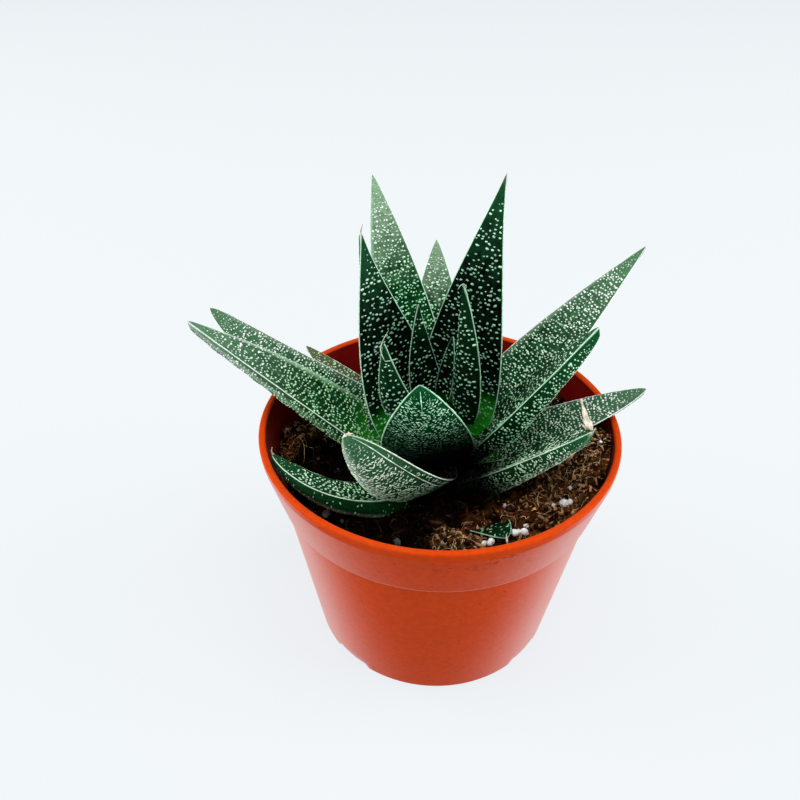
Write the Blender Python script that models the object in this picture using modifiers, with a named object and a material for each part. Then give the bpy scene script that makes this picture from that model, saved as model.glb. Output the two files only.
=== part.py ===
"""A gasteraloe growing in a round plastic nursery pot.

Thick keeled leaves, rough with raised tubercles, stand in a rosette on a short crown. The crown sits
in a plain hole in the potting soil, and the soil fills the pot. Lengths are metres, angles are
degrees, +Z is up and +Y points away from the front. The origin is the centre of the pot's underside.
"""
import math
from dataclasses import dataclass

import bmesh
import bpy
import numpy as np
from mathutils import Matrix, Vector

# Clearances and mesh fineness
GAP = 0.0003
MERGE = 0.00005
LEAF_SEGMENTS = 16
LEAF_RINGS = 13
POT_STEPS = 48

# Pot
POT_HEIGHT = 0.075
RIM_RADIUS = 0.0525
RIM_INNER_RADIUS = 0.0495
COLLAR_DEPTH = 0.019
COLLAR_LOWER_RADIUS = 0.0479
COLLAR_STEP = 0.0007
BASE_RADIUS = 0.0386
FLOOR_THICKNESS = 0.0018
WALL_THICKNESS = 0.0014
LIP_ROUND = 0.0009
LIP_INNER_ROUND = 0.0007
LIP_DEPTH = 0.0027
LIP_TUCK = 0.0002
COLLAR_FOOT_FLARE = 0.0003
FOOT_ROUND = 0.00045
DRAIN_HOLES = 8
DRAIN_SEGMENTS = 12
DRAIN_RADIUS = 0.003
DRAIN_CIRCLE_RADIUS = 0.029
FOOT_NOTCHES = 4
FOOT_NOTCH_FIRST_ANGLE = 50.0
FOOT_NOTCH_LENGTH = 0.0125
FOOT_NOTCH_HEIGHT = 0.0018
FOOT_NOTCH_DEPTH = 0.0022

# Soil
SOIL_SEGMENTS = 36
SOIL_TOP_RINGS = 8
SOIL_WALL_RINGS = 2
SOIL_LEVEL = 0.0635
SOIL_TILT = 0.0035
SOIL_TILT_HEADING = -20.0
SOIL_DIP = 0.0045
SOIL_DIP_RADIUS = 0.020
SOIL_WALL_GAP = 0.0006
SOIL_CLUMP = 0.0007
SOIL_CLUMP_WAVE = 0.011
SOIL_CLUMP_STRETCH = 0.9
SOIL_CLUMP_START = (1.3, 0.4)
SOIL_SWELL = 0.6
SOIL_SWELL_WAVE = 0.020
PERLITE_SINK = 0.35

# Crown: heights and radii of its turned outline, from its top down
CROWN_OUTLINE = (
    (0.0022, 0.0812),
    (0.0052, 0.0785),
    (0.0078, 0.0745),
    (0.0098, 0.0690),
    (0.0112, 0.0630),
    (0.0095, 0.0585),
)
CROWN_TOP = 0.0820
CROWN_FOOT = 0.0572
CROWN_STEPS = 20

# Leaf form
MARGIN_HALF = 0.00035
CHANNEL_DEPTH = 0.0010
TUBERCLE_RELIEF = 0.0003
SHOULDER = 0.35
SHOULDER_START = 0.05
KEEL_TAPER = 0.45
KEEL_AT_SEAT = 0.5
KEEL_FULL_FROM = 0.3
KEEL_ROUND = 0.9
KEEL_RIDGE = 1.6
TWIST_PIVOT = 0.4


@dataclass(frozen=True)
class Leaf:
    """One leaf: where it starts and ends, how its midline bends, and its section."""

    name: str
    tip: tuple  # x, y, z of the point
    seat: tuple  # heading, distance from the pot's axis and height of its start in the crown
    bow: tuple  # how far the midline's middle stands above, and to the left of, a straight line
    width: float  # from margin to margin at the widest
    keel: float  # depth of the keel below the margins
    roll: float = 0.0  # turn about the midline
    twist: float = 0.0  # further turn from base to tip
    point: float = 0.9  # 1 tapers in straight lines, less is blunter
    offset: float = 0.0  # the keel's place, as a share of half the width to the left


# From the youngest leaf to the oldest: an older leaf gives way to the younger ones inside it
LEAVES = (
    Leaf("leaf_young_spear", (0.0030, 0.0045, 0.1010), (60.0, 0.0010, 0.0815), (0.0, 0.0), 0.0050, 0.0022),
    Leaf("leaf_young_left", (-0.0068, 0.0046, 0.1108), (148.0, 0.0030, 0.0795), (-0.0005, 0.0010), 0.0100,
         0.0028, -17.0, 6.0, 1.1),
    Leaf("leaf_young_right", (0.0050, -0.0023, 0.1205), (-9.0, 0.0069, 0.0775), (0.0010, 0.0009), 0.0120,
         0.0036, 3.0, -4.0, 1.0),
    Leaf("leaf_young_front", (-0.0147, -0.0129, 0.1090), (-143.0, 0.0048, 0.0750), (-0.0050, 0.0025),
         0.0114, 0.0034, 34.0, 0.0, 0.95),
    Leaf("leaf_tall_right", (0.0148, 0.0150, 0.1440), (30.0, 0.0046, 0.0700), (0.0018, 0.0003), 0.0235,
         0.0055, 18.0, -4.0, 1.25),
    Leaf("leaf_tall_left", (-0.0202, 0.0193, 0.1410), (138.0, 0.0045, 0.0695), (0.0, 0.0), 0.0200,
         0.0055, -14.0, 0.0, 0.95),
    Leaf("leaf_tall_side", (-0.0218, 0.0041, 0.1314), (179.0, 0.0058, 0.0700), (-0.0017, 0.0007), 0.0235,
         0.0052, -37.0, 9.0, 1.25),
    Leaf("leaf_front", (-0.0051, -0.0214, 0.1025), (-110.0, 0.0072, 0.0650), (-0.0015, 0.0006), 0.0255,
         0.0058, 12.0, 0.0, 0.86),
    Leaf("leaf_back", (-0.0029, 0.0340, 0.1162), (95.0, 0.0065, 0.0700), (0.0, 0.0), 0.0175, 0.0050),
    Leaf("leaf_back_mid_left", (-0.0140, 0.0300, 0.1085), (118.0, 0.0070, 0.0690), (-0.0010, 0.0), 0.0185,
         0.0052),
    Leaf("leaf_back_mid_right", (0.0125, 0.0275, 0.1105), (62.0, 0.0070, 0.0685), (-0.0010, 0.0), 0.0185,
         0.0052),
    Leaf("leaf_right_upper", (0.0599, 0.0389, 0.1139), (25.0, 0.0080, 0.0655), (0.0005, 0.0003), 0.0203,
         0.0060, 8.0, 0.0, 1.05),
    Leaf("leaf_right_keeled", (0.0409, -0.0013, 0.1091), (-6.0, 0.0080, 0.0660), (0.0012, -0.0015), 0.0215,
         0.0085, -14.0, 0.0, 0.88, -0.35),
    Leaf("leaf_left_upper", (-0.0707, 0.0220, 0.0971), (165.0, 0.0075, 0.0680), (-0.0033, 0.0010), 0.0190,
         0.0060, -3.0, 0.0, 0.70),
    Leaf("leaf_left_long", (-0.0719, 0.0050, 0.1026), (-169.0, 0.0095, 0.0630), (0.0018, -0.0004), 0.0208,
         0.0085, 7.0, -5.0, 0.97, 0.31),
    Leaf("leaf_front_left", (-0.0233, -0.0314, 0.0932), (-118.0, 0.0100, 0.0645), (-0.0045, 0.0090),
         0.0230, 0.0052, 33.0, 8.0, 0.62, -0.31),
    Leaf("leaf_front_right", (0.0395, -0.0214, 0.0902), (-54.0, 0.0105, 0.0610), (-0.0007, 0.0010),
         0.0235, 0.0080, -17.0, -5.0, 0.50, -0.35),
    Leaf("leaf_right_lower", (0.0599, 0.0082, 0.0832), (3.0, 0.0085, 0.0630), (-0.0010, 0.0), 0.0185,
         0.0058, -5.0, 7.0, 0.76),
    Leaf("leaf_back_left", (-0.0434, 0.0276, 0.0811), (149.0, 0.0080, 0.0655), (-0.0010, 0.0), 0.0140,
         0.0045, 4.0, -3.0, 0.84),
    Leaf("leaf_back_low_left", (-0.0180, 0.0420, 0.0860), (116.0, 0.0085, 0.0645), (-0.0020, 0.0), 0.0185,
         0.0055),
    Leaf("leaf_back_low_right", (0.0110, 0.0440, 0.0840), (76.0, 0.0085, 0.0640), (-0.0020, 0.0), 0.0185,
         0.0055),
    Leaf("leaf_left_low", (-0.0462, -0.0165, 0.0733), (-125.0, 0.0085, 0.0625), (0.0002, 0.0132), 0.0176,
         0.0075, 26.5, -11.0, 0.69, 0.39),
    Leaf("leaf_soil_tip", (0.0185, -0.0400, 0.0690), (-67.0, 0.0275, 0.0595), (0.0015, 0.0), 0.0120,
         0.0032, 0.0, 0.0, 0.70),
)
LOWEST_SEAT_CLEAR_OF_SOIL = 0.0690

# Perlite grains: heading, distance from the axis and radius
PERLITE = (
    (-72.0, 0.0395, 0.0014),
    (-61.0, 0.0405, 0.0018),
    (-56.0, 0.0420, 0.0014),
    (-35.0, 0.0425, 0.0020),
    (-27.0, 0.0415, 0.0011),
    (-153.0, 0.0425, 0.0013),
    (-137.0, 0.0410, 0.0014),
    (-104.0, 0.0400, 0.0012),
    (62.0, 0.0360, 0.0016),
    (118.0, 0.0400, 0.0014),
)

# Finishes: colour, roughness and metallic value
FINISHES = {
    "pot": ((0.50, 0.085, 0.028), 0.38, 0.0),
    "soil": ((0.045, 0.022, 0.012), 0.95, 0.0),
    "crown": ((0.05, 0.13, 0.03), 0.60, 0.0),
    "leaf": ((0.025, 0.12, 0.055), 0.48, 0.0),
}


def clear_scene():
    """Remove every object that the file opened with."""
    for thing in list(bpy.data.objects):
        bpy.data.objects.remove(thing, do_unlink=True)


def new_collection(name):
    """Add a collection to the scene."""
    group = bpy.data.collections.new(name)
    bpy.context.scene.collection.children.link(group)
    return group


def new_material(name):
    """A plain shader with the finish of that name."""
    colour, roughness, metallic = FINISHES[name]
    material = bpy.data.materials.new(name)
    material.use_nodes = True
    shader = material.node_tree.nodes["Principled BSDF"]
    shader.inputs["Base Color"].default_value = (*colour, 1.0)
    shader.inputs["Roughness"].default_value = roughness
    shader.inputs["Metallic"].default_value = metallic
    return material


def add_object(name, mesh, group, material=None):
    """Put a mesh in a collection as a named object."""
    thing = bpy.data.objects.new(name, mesh)
    group.objects.link(thing)
    if material:
        mesh.materials.append(material)
    mesh.shade_smooth()
    return thing


def as_cutter(thing):
    """Mark an object as a cutter, which only shapes other objects."""
    thing.hide_render = True
    thing.display_type = "WIRE"
    return thing


def combine(thing, operation, tools, cutters):
    """Join a set of shapes to an object, or cut them out of it, in one step."""
    group = bpy.data.collections.new(f"{operation.lower()}_for_{thing.name}")
    cutters.children.link(group)
    for tool in tools:
        group.objects.link(tool)
    boolean = thing.modifiers.new(operation.lower(), "BOOLEAN")
    boolean.operation = operation
    boolean.solver = "EXACT"
    boolean.operand_type = "COLLECTION"
    boolean.collection = group


def rounded_body(name, segments, rings, surface):
    """A closed mesh: a ball whose points are moved to surface(share, angle).

    The share runs from 0 at the ball's lower pole to 1 at its upper one.
    """
    shape = bmesh.new()
    bmesh.ops.create_uvsphere(shape, u_segments=segments, v_segments=rings, radius=1.0)
    ball = np.array([tuple(point.co) for point in shape.verts])
    share = 1.0 - np.arccos(np.clip(ball[:, 2], -1.0, 1.0)) / math.pi
    angle = np.arctan2(ball[:, 1], ball[:, 0]) % (2.0 * math.pi)
    for point, place in zip(shape.verts, surface(share, angle)):
        point.co = place
    mesh = bpy.data.meshes.new(name)
    shape.to_mesh(mesh)
    shape.free()
    return mesh


def turned_body(name, outline, steps, group, material=None):
    """Turn an outline of (radius, height) points about the Z axis."""
    mesh = bpy.data.meshes.new(name)
    edges = [(index, index + 1) for index in range(len(outline) - 1)]
    mesh.from_pydata([(radius, 0.0, height) for radius, height in outline], edges, [])
    thing = add_object(name, mesh, group, material)
    screw = thing.modifiers.new("turn", "SCREW")
    screw.steps = steps
    screw.render_steps = steps
    screw.use_merge_vertices = True
    screw.merge_threshold = MERGE
    screw.use_smooth_shade = True
    return thing


def polar(heading, distance, height):
    """The point at a heading and distance from the pot's axis."""
    turn = math.radians(heading)
    return np.array([distance * math.cos(turn), distance * math.sin(turn), height])


def inner_wall_radius(height):
    """Radius of the pot's inner wall, which tapers from the rim to the floor."""
    share = (height - FLOOR_THICKNESS) / (POT_HEIGHT - FLOOR_THICKNESS)
    floor_radius = BASE_RADIUS - WALL_THICKNESS
    return floor_radius + (RIM_INNER_RADIUS - floor_radius) * share


def pot_outline():
    """Half section of the pot: up its inner wall, over the lip and down its outer side."""
    collar_foot = POT_HEIGHT - COLLAR_DEPTH
    wall_top = COLLAR_LOWER_RADIUS - COLLAR_STEP
    return (
        (0.0, FLOOR_THICKNESS),
        (inner_wall_radius(FLOOR_THICKNESS), FLOOR_THICKNESS),
        (RIM_INNER_RADIUS, POT_HEIGHT - LIP_ROUND),
        (RIM_INNER_RADIUS + LIP_INNER_ROUND, POT_HEIGHT),
        (RIM_RADIUS - LIP_ROUND, POT_HEIGHT),
        (RIM_RADIUS, POT_HEIGHT - LIP_ROUND),
        (RIM_RADIUS - LIP_TUCK, POT_HEIGHT - LIP_DEPTH),
        (COLLAR_LOWER_RADIUS + COLLAR_FOOT_FLARE, collar_foot + LIP_ROUND),
        (COLLAR_LOWER_RADIUS, collar_foot),
        (wall_top, collar_foot - FOOT_ROUND),
        (BASE_RADIUS, FOOT_ROUND),
        (BASE_RADIUS - FOOT_ROUND, 0.0),
        (0.0, 0.0),
    )


def pot_cutters(group):
    """The drain holes near the foot's edge and the shallow notches under it."""
    tools = []
    for index in range(DRAIN_HOLES):
        shape = bmesh.new()
        bmesh.ops.create_cone(shape, cap_ends=True, segments=DRAIN_SEGMENTS, radius1=DRAIN_RADIUS,
                              radius2=DRAIN_RADIUS, depth=4.0 * FLOOR_THICKNESS)
        place = polar((index + 0.5) * 360.0 / DRAIN_HOLES, DRAIN_CIRCLE_RADIUS, 0.0)
        bmesh.ops.translate(shape, verts=shape.verts, vec=place)
        mesh = bpy.data.meshes.new("drain_cutter")
        shape.to_mesh(mesh)
        shape.free()
        tools.append(as_cutter(add_object(f"drain_cutter_{index + 1}", mesh, group)))
    for index in range(FOOT_NOTCHES):
        heading = FOOT_NOTCH_FIRST_ANGLE + index * 360.0 / FOOT_NOTCHES
        shape = bmesh.new()
        bmesh.ops.create_cube(shape, size=1.0)
        size = (2.0 * FOOT_NOTCH_DEPTH, FOOT_NOTCH_LENGTH, 2.0 * FOOT_NOTCH_HEIGHT)
        bmesh.ops.scale(shape, verts=shape.verts, vec=size)
        bmesh.ops.translate(shape, verts=shape.verts, vec=(BASE_RADIUS, 0.0, 0.0))
        turn = Matrix.Rotation(math.radians(heading), 3, "Z")
        bmesh.ops.rotate(shape, verts=shape.verts, cent=Vector(), matrix=turn)
        mesh = bpy.data.meshes.new("notch_cutter")
        shape.to_mesh(mesh)
        shape.free()
        tools.append(as_cutter(add_object(f"notch_cutter_{index + 1}", mesh, group)))
    return tools


def make_pot(group, cutters):
    """The pot: a tapered cup with a wide collar, a thick lip and a drained floor."""
    pot = turned_body("pot", pot_outline(), POT_STEPS, group, new_material("pot"))
    combine(pot, "DIFFERENCE", pot_cutters(cutters), cutters)


def soil_height(x, y):
    """Height of the soil's surface: a slight slope with clumps, lower round the crown."""
    turn = math.radians(SOIL_TILT_HEADING)
    slope = SOIL_TILT * (x * math.cos(turn) + y * math.sin(turn)) / RIM_INNER_RADIUS
    wave = 2.0 * math.pi / SOIL_CLUMP_WAVE
    start_x, start_y = SOIL_CLUMP_START
    clumps = np.sin(wave * x + start_x) * np.sin(wave * SOIL_CLUMP_STRETCH * y + start_y)
    swell = SOIL_SWELL * np.sin(2.0 * math.pi * (x + y) / SOIL_SWELL_WAVE)
    dip = SOIL_DIP * np.exp(-(x * x + y * y) / SOIL_DIP_RADIUS ** 2)
    return SOIL_LEVEL + slope - dip + SOIL_CLUMP * (clumps + swell)


def soil_surface(share, angle):
    """The soil's body: a flat foot, a wall that follows the pot, then the clumped top."""
    rings = 1 + SOIL_WALL_RINGS + SOIL_TOP_RINGS
    ring = np.rint(share * rings)
    edge = inner_wall_radius(SOIL_LEVEL) - SOIL_WALL_GAP
    across = edge * np.clip((rings - ring) / SOIL_TOP_RINGS, 0.0, 1.0)
    top = soil_height(across * np.cos(angle), across * np.sin(angle))
    foot = FLOOR_THICKNESS + GAP
    rise = np.clip((ring - 1.0) / SOIL_WALL_RINGS, 0.0, 1.0)
    height = foot + (top - foot) * rise
    wall = inner_wall_radius(height) - SOIL_WALL_GAP
    radius = np.where(ring < 1.0, 0.0, np.where(rise < 1.0, wall, np.minimum(across, wall)))
    return np.stack([radius * np.cos(angle), radius * np.sin(angle), height], axis=1)


def make_perlite(cutters):
    """Pale grains that lie half sunk in the soil, as one set of shapes to join to it."""
    grains = []
    for index, (heading, distance, radius) in enumerate(PERLITE):
        place = polar(heading, distance, 0.0)
        place[2] = soil_height(place[0], place[1]) + radius * PERLITE_SINK
        shape = bmesh.new()
        bmesh.ops.create_icosphere(shape, subdivisions=1, radius=radius)
        bmesh.ops.translate(shape, verts=shape.verts, vec=place)
        mesh = bpy.data.meshes.new("perlite")
        shape.to_mesh(mesh)
        shape.free()
        grains.append(as_cutter(add_object(f"perlite_{index + 1}", mesh, cutters)))
    return grains


def make_soil(group, cutters, tools):
    """The soil, with its perlite joined on and room for the crown and the lowest leaves."""
    mesh = rounded_body("soil", SOIL_SEGMENTS, 1 + SOIL_WALL_RINGS + SOIL_TOP_RINGS, soil_surface)
    soil = add_object("soil", mesh, group, new_material("soil"))
    combine(soil, "UNION", make_perlite(cutters), cutters)
    combine(soil, "DIFFERENCE", tools, cutters)


def crown_outline(grow=0.0):
    """The crown's half section, from its top down its outer side."""
    side = tuple((radius + grow, height) for radius, height in CROWN_OUTLINE)
    return ((0.0, CROWN_TOP + grow),) + side + ((0.0, CROWN_FOOT - grow),)


def leaf_midline(leaf, share):
    """Points along a leaf's midline with its along, left and up directions there."""
    start = polar(*leaf.seat)
    chord = np.array(leaf.tip) - start
    ahead = chord / np.linalg.norm(chord)
    left = np.cross((0.0, 0.0, 1.0), ahead)
    left /= np.linalg.norm(left)
    up = np.cross(ahead, left)
    rise, sway = leaf.bow
    bend = rise * up + sway * left
    middle = start + np.outer(share, chord) + np.outer(4.0 * share * (1.0 - share), bend)
    along = chord + np.outer(4.0 - 8.0 * share, bend)
    along /= np.linalg.norm(along, axis=1)[:, None]
    side = left - (along @ left)[:, None] * along
    side /= np.linalg.norm(side, axis=1)[:, None]
    face = np.cross(along, side)
    turn = np.radians(leaf.roll + leaf.twist * (share - TWIST_PIVOT))[:, None]
    turned_side = side * np.cos(turn) + face * np.sin(turn)
    turned_face = face * np.cos(turn) - side * np.sin(turn)
    return middle, along, turned_side, turned_face


def half_width(leaf, share):
    """Half the leaf's width: it swells a little from the seat and then tapers to the point."""
    widest = (SHOULDER - leaf.point * SHOULDER_START) / (leaf.point + SHOULDER)
    peak = (1.0 - widest) ** leaf.point * (widest + SHOULDER_START) ** SHOULDER
    return 0.5 * leaf.width * (1.0 - share) ** leaf.point * (share + SHOULDER_START) ** SHOULDER / peak


def leaf_surface(leaf, grow=0.0, relief=0.0):
    """The leaf's skin as a function: channelled above, keeled below, with staggered tubercles."""
    def place(share, angle):
        middle, along, side, face = leaf_midline(leaf, share)
        width = half_width(leaf, share) + 0.5 * MARGIN_HALF + grow
        neck = KEEL_AT_SEAT + (1.0 - KEEL_AT_SEAT) * np.clip(share / KEEL_FULL_FROM, 0.0, 1.0)
        depth = leaf.keel * (1.0 - share) ** KEEL_TAPER * neck
        depth = depth + MARGIN_HALF + grow
        across = np.cos(angle)
        rim = (MARGIN_HALF + grow) * np.sqrt(np.abs(np.sin(angle)))
        hollow = CHANNEL_DEPTH * 2.0 * width / leaf.width * (1.0 - across ** 2)
        belly = depth * (1.0 - np.abs(across) ** KEEL_RIDGE) ** KEEL_ROUND
        upper = np.sin(angle) > 0.0
        ring = np.rint(share * LEAF_RINGS).astype(int)
        step = np.rint(angle / (2.0 * math.pi) * LEAF_SEGMENTS).astype(int) % LEAF_SEGMENTS
        plain = (step % (LEAF_SEGMENTS // 4) == 0) | (ring < 2) | (ring > LEAF_RINGS - 2)
        bump = np.where(plain | ((ring + step) % 2 == 0), 0.0, relief)
        height = np.where(upper, rim - hollow + bump, -belly - bump)
        sideways = width * (across + leaf.offset * (1.0 - across ** 2) * ~upper)
        ends = np.outer(grow * (2.0 * share - 1.0), np.ones(3)) * along
        return middle + ends + sideways[:, None] * side + height[:, None] * face
    return place


def corners(thing):
    """The lowest and highest corner of an object's own mesh."""
    points = np.array([tuple(vertex.co) for vertex in thing.data.vertices])
    return points.min(axis=0), points.max(axis=0)


def boxes_meet(first, second):
    """True where two objects' boxes overlap."""
    low_a, high_a = corners(first)
    low_b, high_b = corners(second)
    return bool(np.all(low_a <= high_b) and np.all(low_b <= high_a))


def make_leaves(group, cutters, crown_room):
    """Every leaf, each one cut back where a younger leaf or the crown has its place."""
    material = new_material("leaf")
    rooms = []
    low_rooms = []
    for leaf in LEAVES:
        skin = leaf_surface(leaf, relief=TUBERCLE_RELIEF)
        blade = add_object(leaf.name, rounded_body(leaf.name, LEAF_SEGMENTS, LEAF_RINGS, skin),
                           group, material)
        neighbours = [room for room in rooms if boxes_meet(blade, room)]
        combine(blade, "DIFFERENCE", [crown_room] + neighbours, cutters)
        skin = leaf_surface(leaf, grow=GAP + TUBERCLE_RELIEF)
        name = "room_for_" + leaf.name
        room = as_cutter(add_object(name, rounded_body(name, LEAF_SEGMENTS, LEAF_RINGS, skin), cutters))
        rooms.append(room)
        if leaf.seat[2] < LOWEST_SEAT_CLEAR_OF_SOIL:
            low_rooms.append(room)
    return low_rooms


def main():
    """Build the potted plant."""
    clear_scene()
    group = new_collection("potted_gasteraloe")
    cutters = new_collection("cutters")
    make_pot(group, cutters)
    turned_body("crown", crown_outline(), CROWN_STEPS, group, new_material("crown"))
    crown_room = as_cutter(turned_body("room_for_crown", crown_outline(GAP), CROWN_STEPS, cutters))
    low_rooms = make_leaves(group, cutters, crown_room)
    make_soil(group, cutters, [crown_room] + low_rooms)


main()
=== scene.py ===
"""Looks for a gasteraloe that grows in a round plastic nursery pot.

Lengths are metres and angles are degrees. +Z is up, +Y points away from the front, and the origin is
the centre of the pot's underside. Every finished piece's object sits at the origin, with its place in
its mesh.
"""
import logging
import math
from dataclasses import dataclass, replace
from enum import Enum

import bmesh
import bpy
import numpy as np
from mathutils import Matrix, Vector


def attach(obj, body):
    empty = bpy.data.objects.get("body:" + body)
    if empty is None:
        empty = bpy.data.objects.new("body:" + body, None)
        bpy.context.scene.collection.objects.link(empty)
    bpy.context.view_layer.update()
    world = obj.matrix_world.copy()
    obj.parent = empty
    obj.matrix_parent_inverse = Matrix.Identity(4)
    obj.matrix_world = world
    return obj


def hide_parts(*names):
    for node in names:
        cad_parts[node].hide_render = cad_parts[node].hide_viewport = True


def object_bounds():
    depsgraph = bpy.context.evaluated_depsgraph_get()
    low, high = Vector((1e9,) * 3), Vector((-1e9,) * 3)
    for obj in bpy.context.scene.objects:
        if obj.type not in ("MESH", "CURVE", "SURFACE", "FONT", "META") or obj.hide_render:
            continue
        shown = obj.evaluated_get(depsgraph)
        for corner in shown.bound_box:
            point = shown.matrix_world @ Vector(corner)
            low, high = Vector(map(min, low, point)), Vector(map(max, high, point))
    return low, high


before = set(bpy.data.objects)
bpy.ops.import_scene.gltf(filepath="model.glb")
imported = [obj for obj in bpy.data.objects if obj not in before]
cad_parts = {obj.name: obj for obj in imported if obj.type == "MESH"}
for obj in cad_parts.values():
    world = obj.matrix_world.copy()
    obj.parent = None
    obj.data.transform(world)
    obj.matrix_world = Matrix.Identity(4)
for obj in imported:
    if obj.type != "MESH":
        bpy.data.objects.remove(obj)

CAD_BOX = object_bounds()
LOG = logging.getLogger("potted_gasteraloe")
UP = np.array([0.0, 0.0, 1.0])
FULL_TURN = 2.0 * math.pi

Array = np.ndarray
Amount = Array | float
Colour = tuple[float, float, float]
Point = tuple[float, float, float]
Form = tuple[Array, Array]  # the points and faces of a small form that is repeated
Spread = tuple[float, float, float]  # the least size, what chance adds, and the power of chance
Paint = dict[str, object]  # what each socket of a shader holds or reads


# Surfaces worked out as whole arrays


@dataclass
class Shape:
    """A surface: its points, its faces and what the material reads at each point."""

    points: Array  # metres
    faces: list[Array]  # corner numbers, one array for each number of corners
    place: Array | None = None  # n x 3, the vector attribute "place"; left out, the points
    marks: Amount = 0.0  # n x 4, the colour attribute "marks"

    def __post_init__(self) -> None:
        """Hold everything as one row for each point."""
        self.points = self.points.reshape(-1, 3)
        self.place = self.points if self.place is None else self.place.reshape(-1, 3)
        self.marks = np.broadcast_to(self.marks, (len(self.points), 4))

    def marked(self, *columns: Amount) -> "Shape":
        """Give the surface its marks.

        Args:
            *columns: Four marks, each with a value for every point, for every copy, or for all.

        Returns:
            The marked surface.
        """
        count = len(self.points)
        full = [np.repeat(column, count // np.size(column)) for column in columns]
        return replace(self, marks=np.stack(full, axis=1))


def joined(shapes: list[Shape]) -> Shape:
    """Put several surfaces together as one.

    Args:
        shapes: The surfaces.

    Returns:
        One surface with all their points and faces.
    """
    starts = np.cumsum([0] + [len(shape.points) for shape in shapes[:-1]])
    faces = [corners + start for shape, start in zip(shapes, starts) for corners in shape.faces]
    points, place, marks = [np.concatenate([getattr(shape, part) for shape in shapes])
                            for part in ("points", "place", "marks")]
    return Shape(points, faces, place, marks)


def linked(name: str, data: bpy.types.ID) -> bpy.types.Object:
    """Put an object in the scene.

    Args:
        name: Its name.
        data: Its mesh, lamp or camera.

    Returns:
        The object.
    """
    thing = bpy.data.objects.new(name, data)
    bpy.context.scene.collection.objects.link(thing)
    return thing


def make_piece(name: str, shape: Shape, material: bpy.types.Material,
               replaced: tuple[str, ...] = ()) -> bpy.types.Object:
    """Turn a surface into a finished piece that rides on the part, held within the solids' box.

    Args:
        name: The piece's name.
        shape: Its surface.
        material: Its finish.
        replaced: The solids that it stands for.

    Returns:
        The piece.
    """
    mesh = bpy.data.meshes.new(name)
    points = np.clip(shape.points, np.array(CAD_BOX[0]), np.array(CAD_BOX[1]))
    mesh.from_pydata(points.tolist(), [], [face for part in shape.faces for face in part.tolist()])
    for title, kind, key, values in (("marks", "FLOAT_COLOR", "color", shape.marks),
                                     ("place", "FLOAT_VECTOR", "vector", shape.place)):
        read = mesh.attributes.new(title, kind, "POINT")
        read.data.foreach_set(key, np.ascontiguousarray(values, dtype=np.float32).ravel())
    mesh.shade_smooth()
    mesh.materials.append(material)
    piece = linked(name, mesh)
    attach(piece, "root")
    if replaced:
        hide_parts(*replaced)
    LOG.info("%s: %d faces", name, len(mesh.polygons))
    return piece


def around(radius: Amount, turn: Array, height: Amount) -> Array:
    """Points at a distance from the axis, turned about it, at a height."""
    return np.stack(np.broadcast_arrays(radius * np.cos(turn), radius * np.sin(turn), height), axis=-1)


def ring_faces(rows: int, columns: int) -> list[Array]:
    """Faces of a closed body of rings with a pole at each end.

    Ring r's point c is number r * columns + c. The first pole has the next number, and the last pole
    the one after it.

    Args:
        rows: The number of rings.
        columns: The number of points in each ring.

    Returns:
        The four-cornered faces between rings, and the three-cornered ones round the poles.
    """
    row, column = np.meshgrid(np.arange(rows - 1), np.arange(columns), indexing="ij")
    here, beside = row * columns + column, row * columns + (column + 1) % columns
    quads = np.stack([here, beside, beside + columns, here + columns], axis=-1).reshape(-1, 4)
    here, beside = np.arange(columns), (np.arange(columns) + 1) % columns
    last, pole = (rows - 1) * columns, np.full(columns, rows * columns)
    fans = np.hstack([[beside, here, pole], [here + last, beside + last, pole + 1]]).T
    return [quads, fans]


def closed_rings(rings: Array, poles: Array, place: Array | None = None) -> Shape:
    """A closed surface: rows x columns x 3 points of rings between two poles."""
    points = np.concatenate([rings.reshape(-1, 3), poles])
    return Shape(points, ring_faces(*rings.shape[:2]), place)


def unit(vectors: Array) -> Array:
    """Vectors scaled to a length of one."""
    return vectors / np.maximum(np.linalg.norm(vectors, axis=-1, keepdims=True), 1e-12)


def copies(form: Form, centres: Array, axes: Array, sizes: Array, bends: Amount = 0.0,
           place: Array | None = None) -> Shape:
    """Many copies of a small form, each one turned to its own axes and scaled along them.

    Point p of copy i stands at centre i plus, for each axis, p's part along it times the size. A bend
    then moves it along the second axis by bend * first size * (p's first part) ** 2.

    Args:
        form: The form.
        centres: n x 3 places.
        axes: n x 3 x 3 directions, one for each of the form's own axes.
        sizes: n x 3 sizes.
        bends: n bends.
        place: n x 3 places for the leaf's skin.

    Returns:
        The copies as one surface.
    """
    template, corners = form
    scaled = template[None] * sizes[:, None, :]
    scaled[:, :, 1] += (bends * sizes[:, 0])[:, None] * template[None, :, 0] ** 2
    shift = np.arange(len(centres))[:, None, None] * len(template)
    return Shape(centres[:, None, :] + scaled @ axes, [(corners[None] + shift).reshape(-1, 3)],
                 None if place is None else np.repeat(place, len(template), axis=0))


def ball(level: int) -> Form:
    """A small ball.

    Args:
        level: How finely it is divided.

    Returns:
        Its points and faces.
    """
    mesh = bmesh.new()
    bmesh.ops.create_icosphere(mesh, subdivisions=level, radius=1.0)
    points = np.array([tuple(point.co) for point in mesh.verts])
    faces = np.array([[point.index for point in face.verts] for face in mesh.faces])
    mesh.free()
    return points, faces


def smooth_step(values: Amount, low: float, high: float) -> Amount:
    """0 up to low, 1 from high on, and an S-shaped rise between them."""
    share = np.clip((values - low) / (high - low), 0.0, 1.0)
    return share * share * (3.0 - 2.0 * share)


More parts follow.
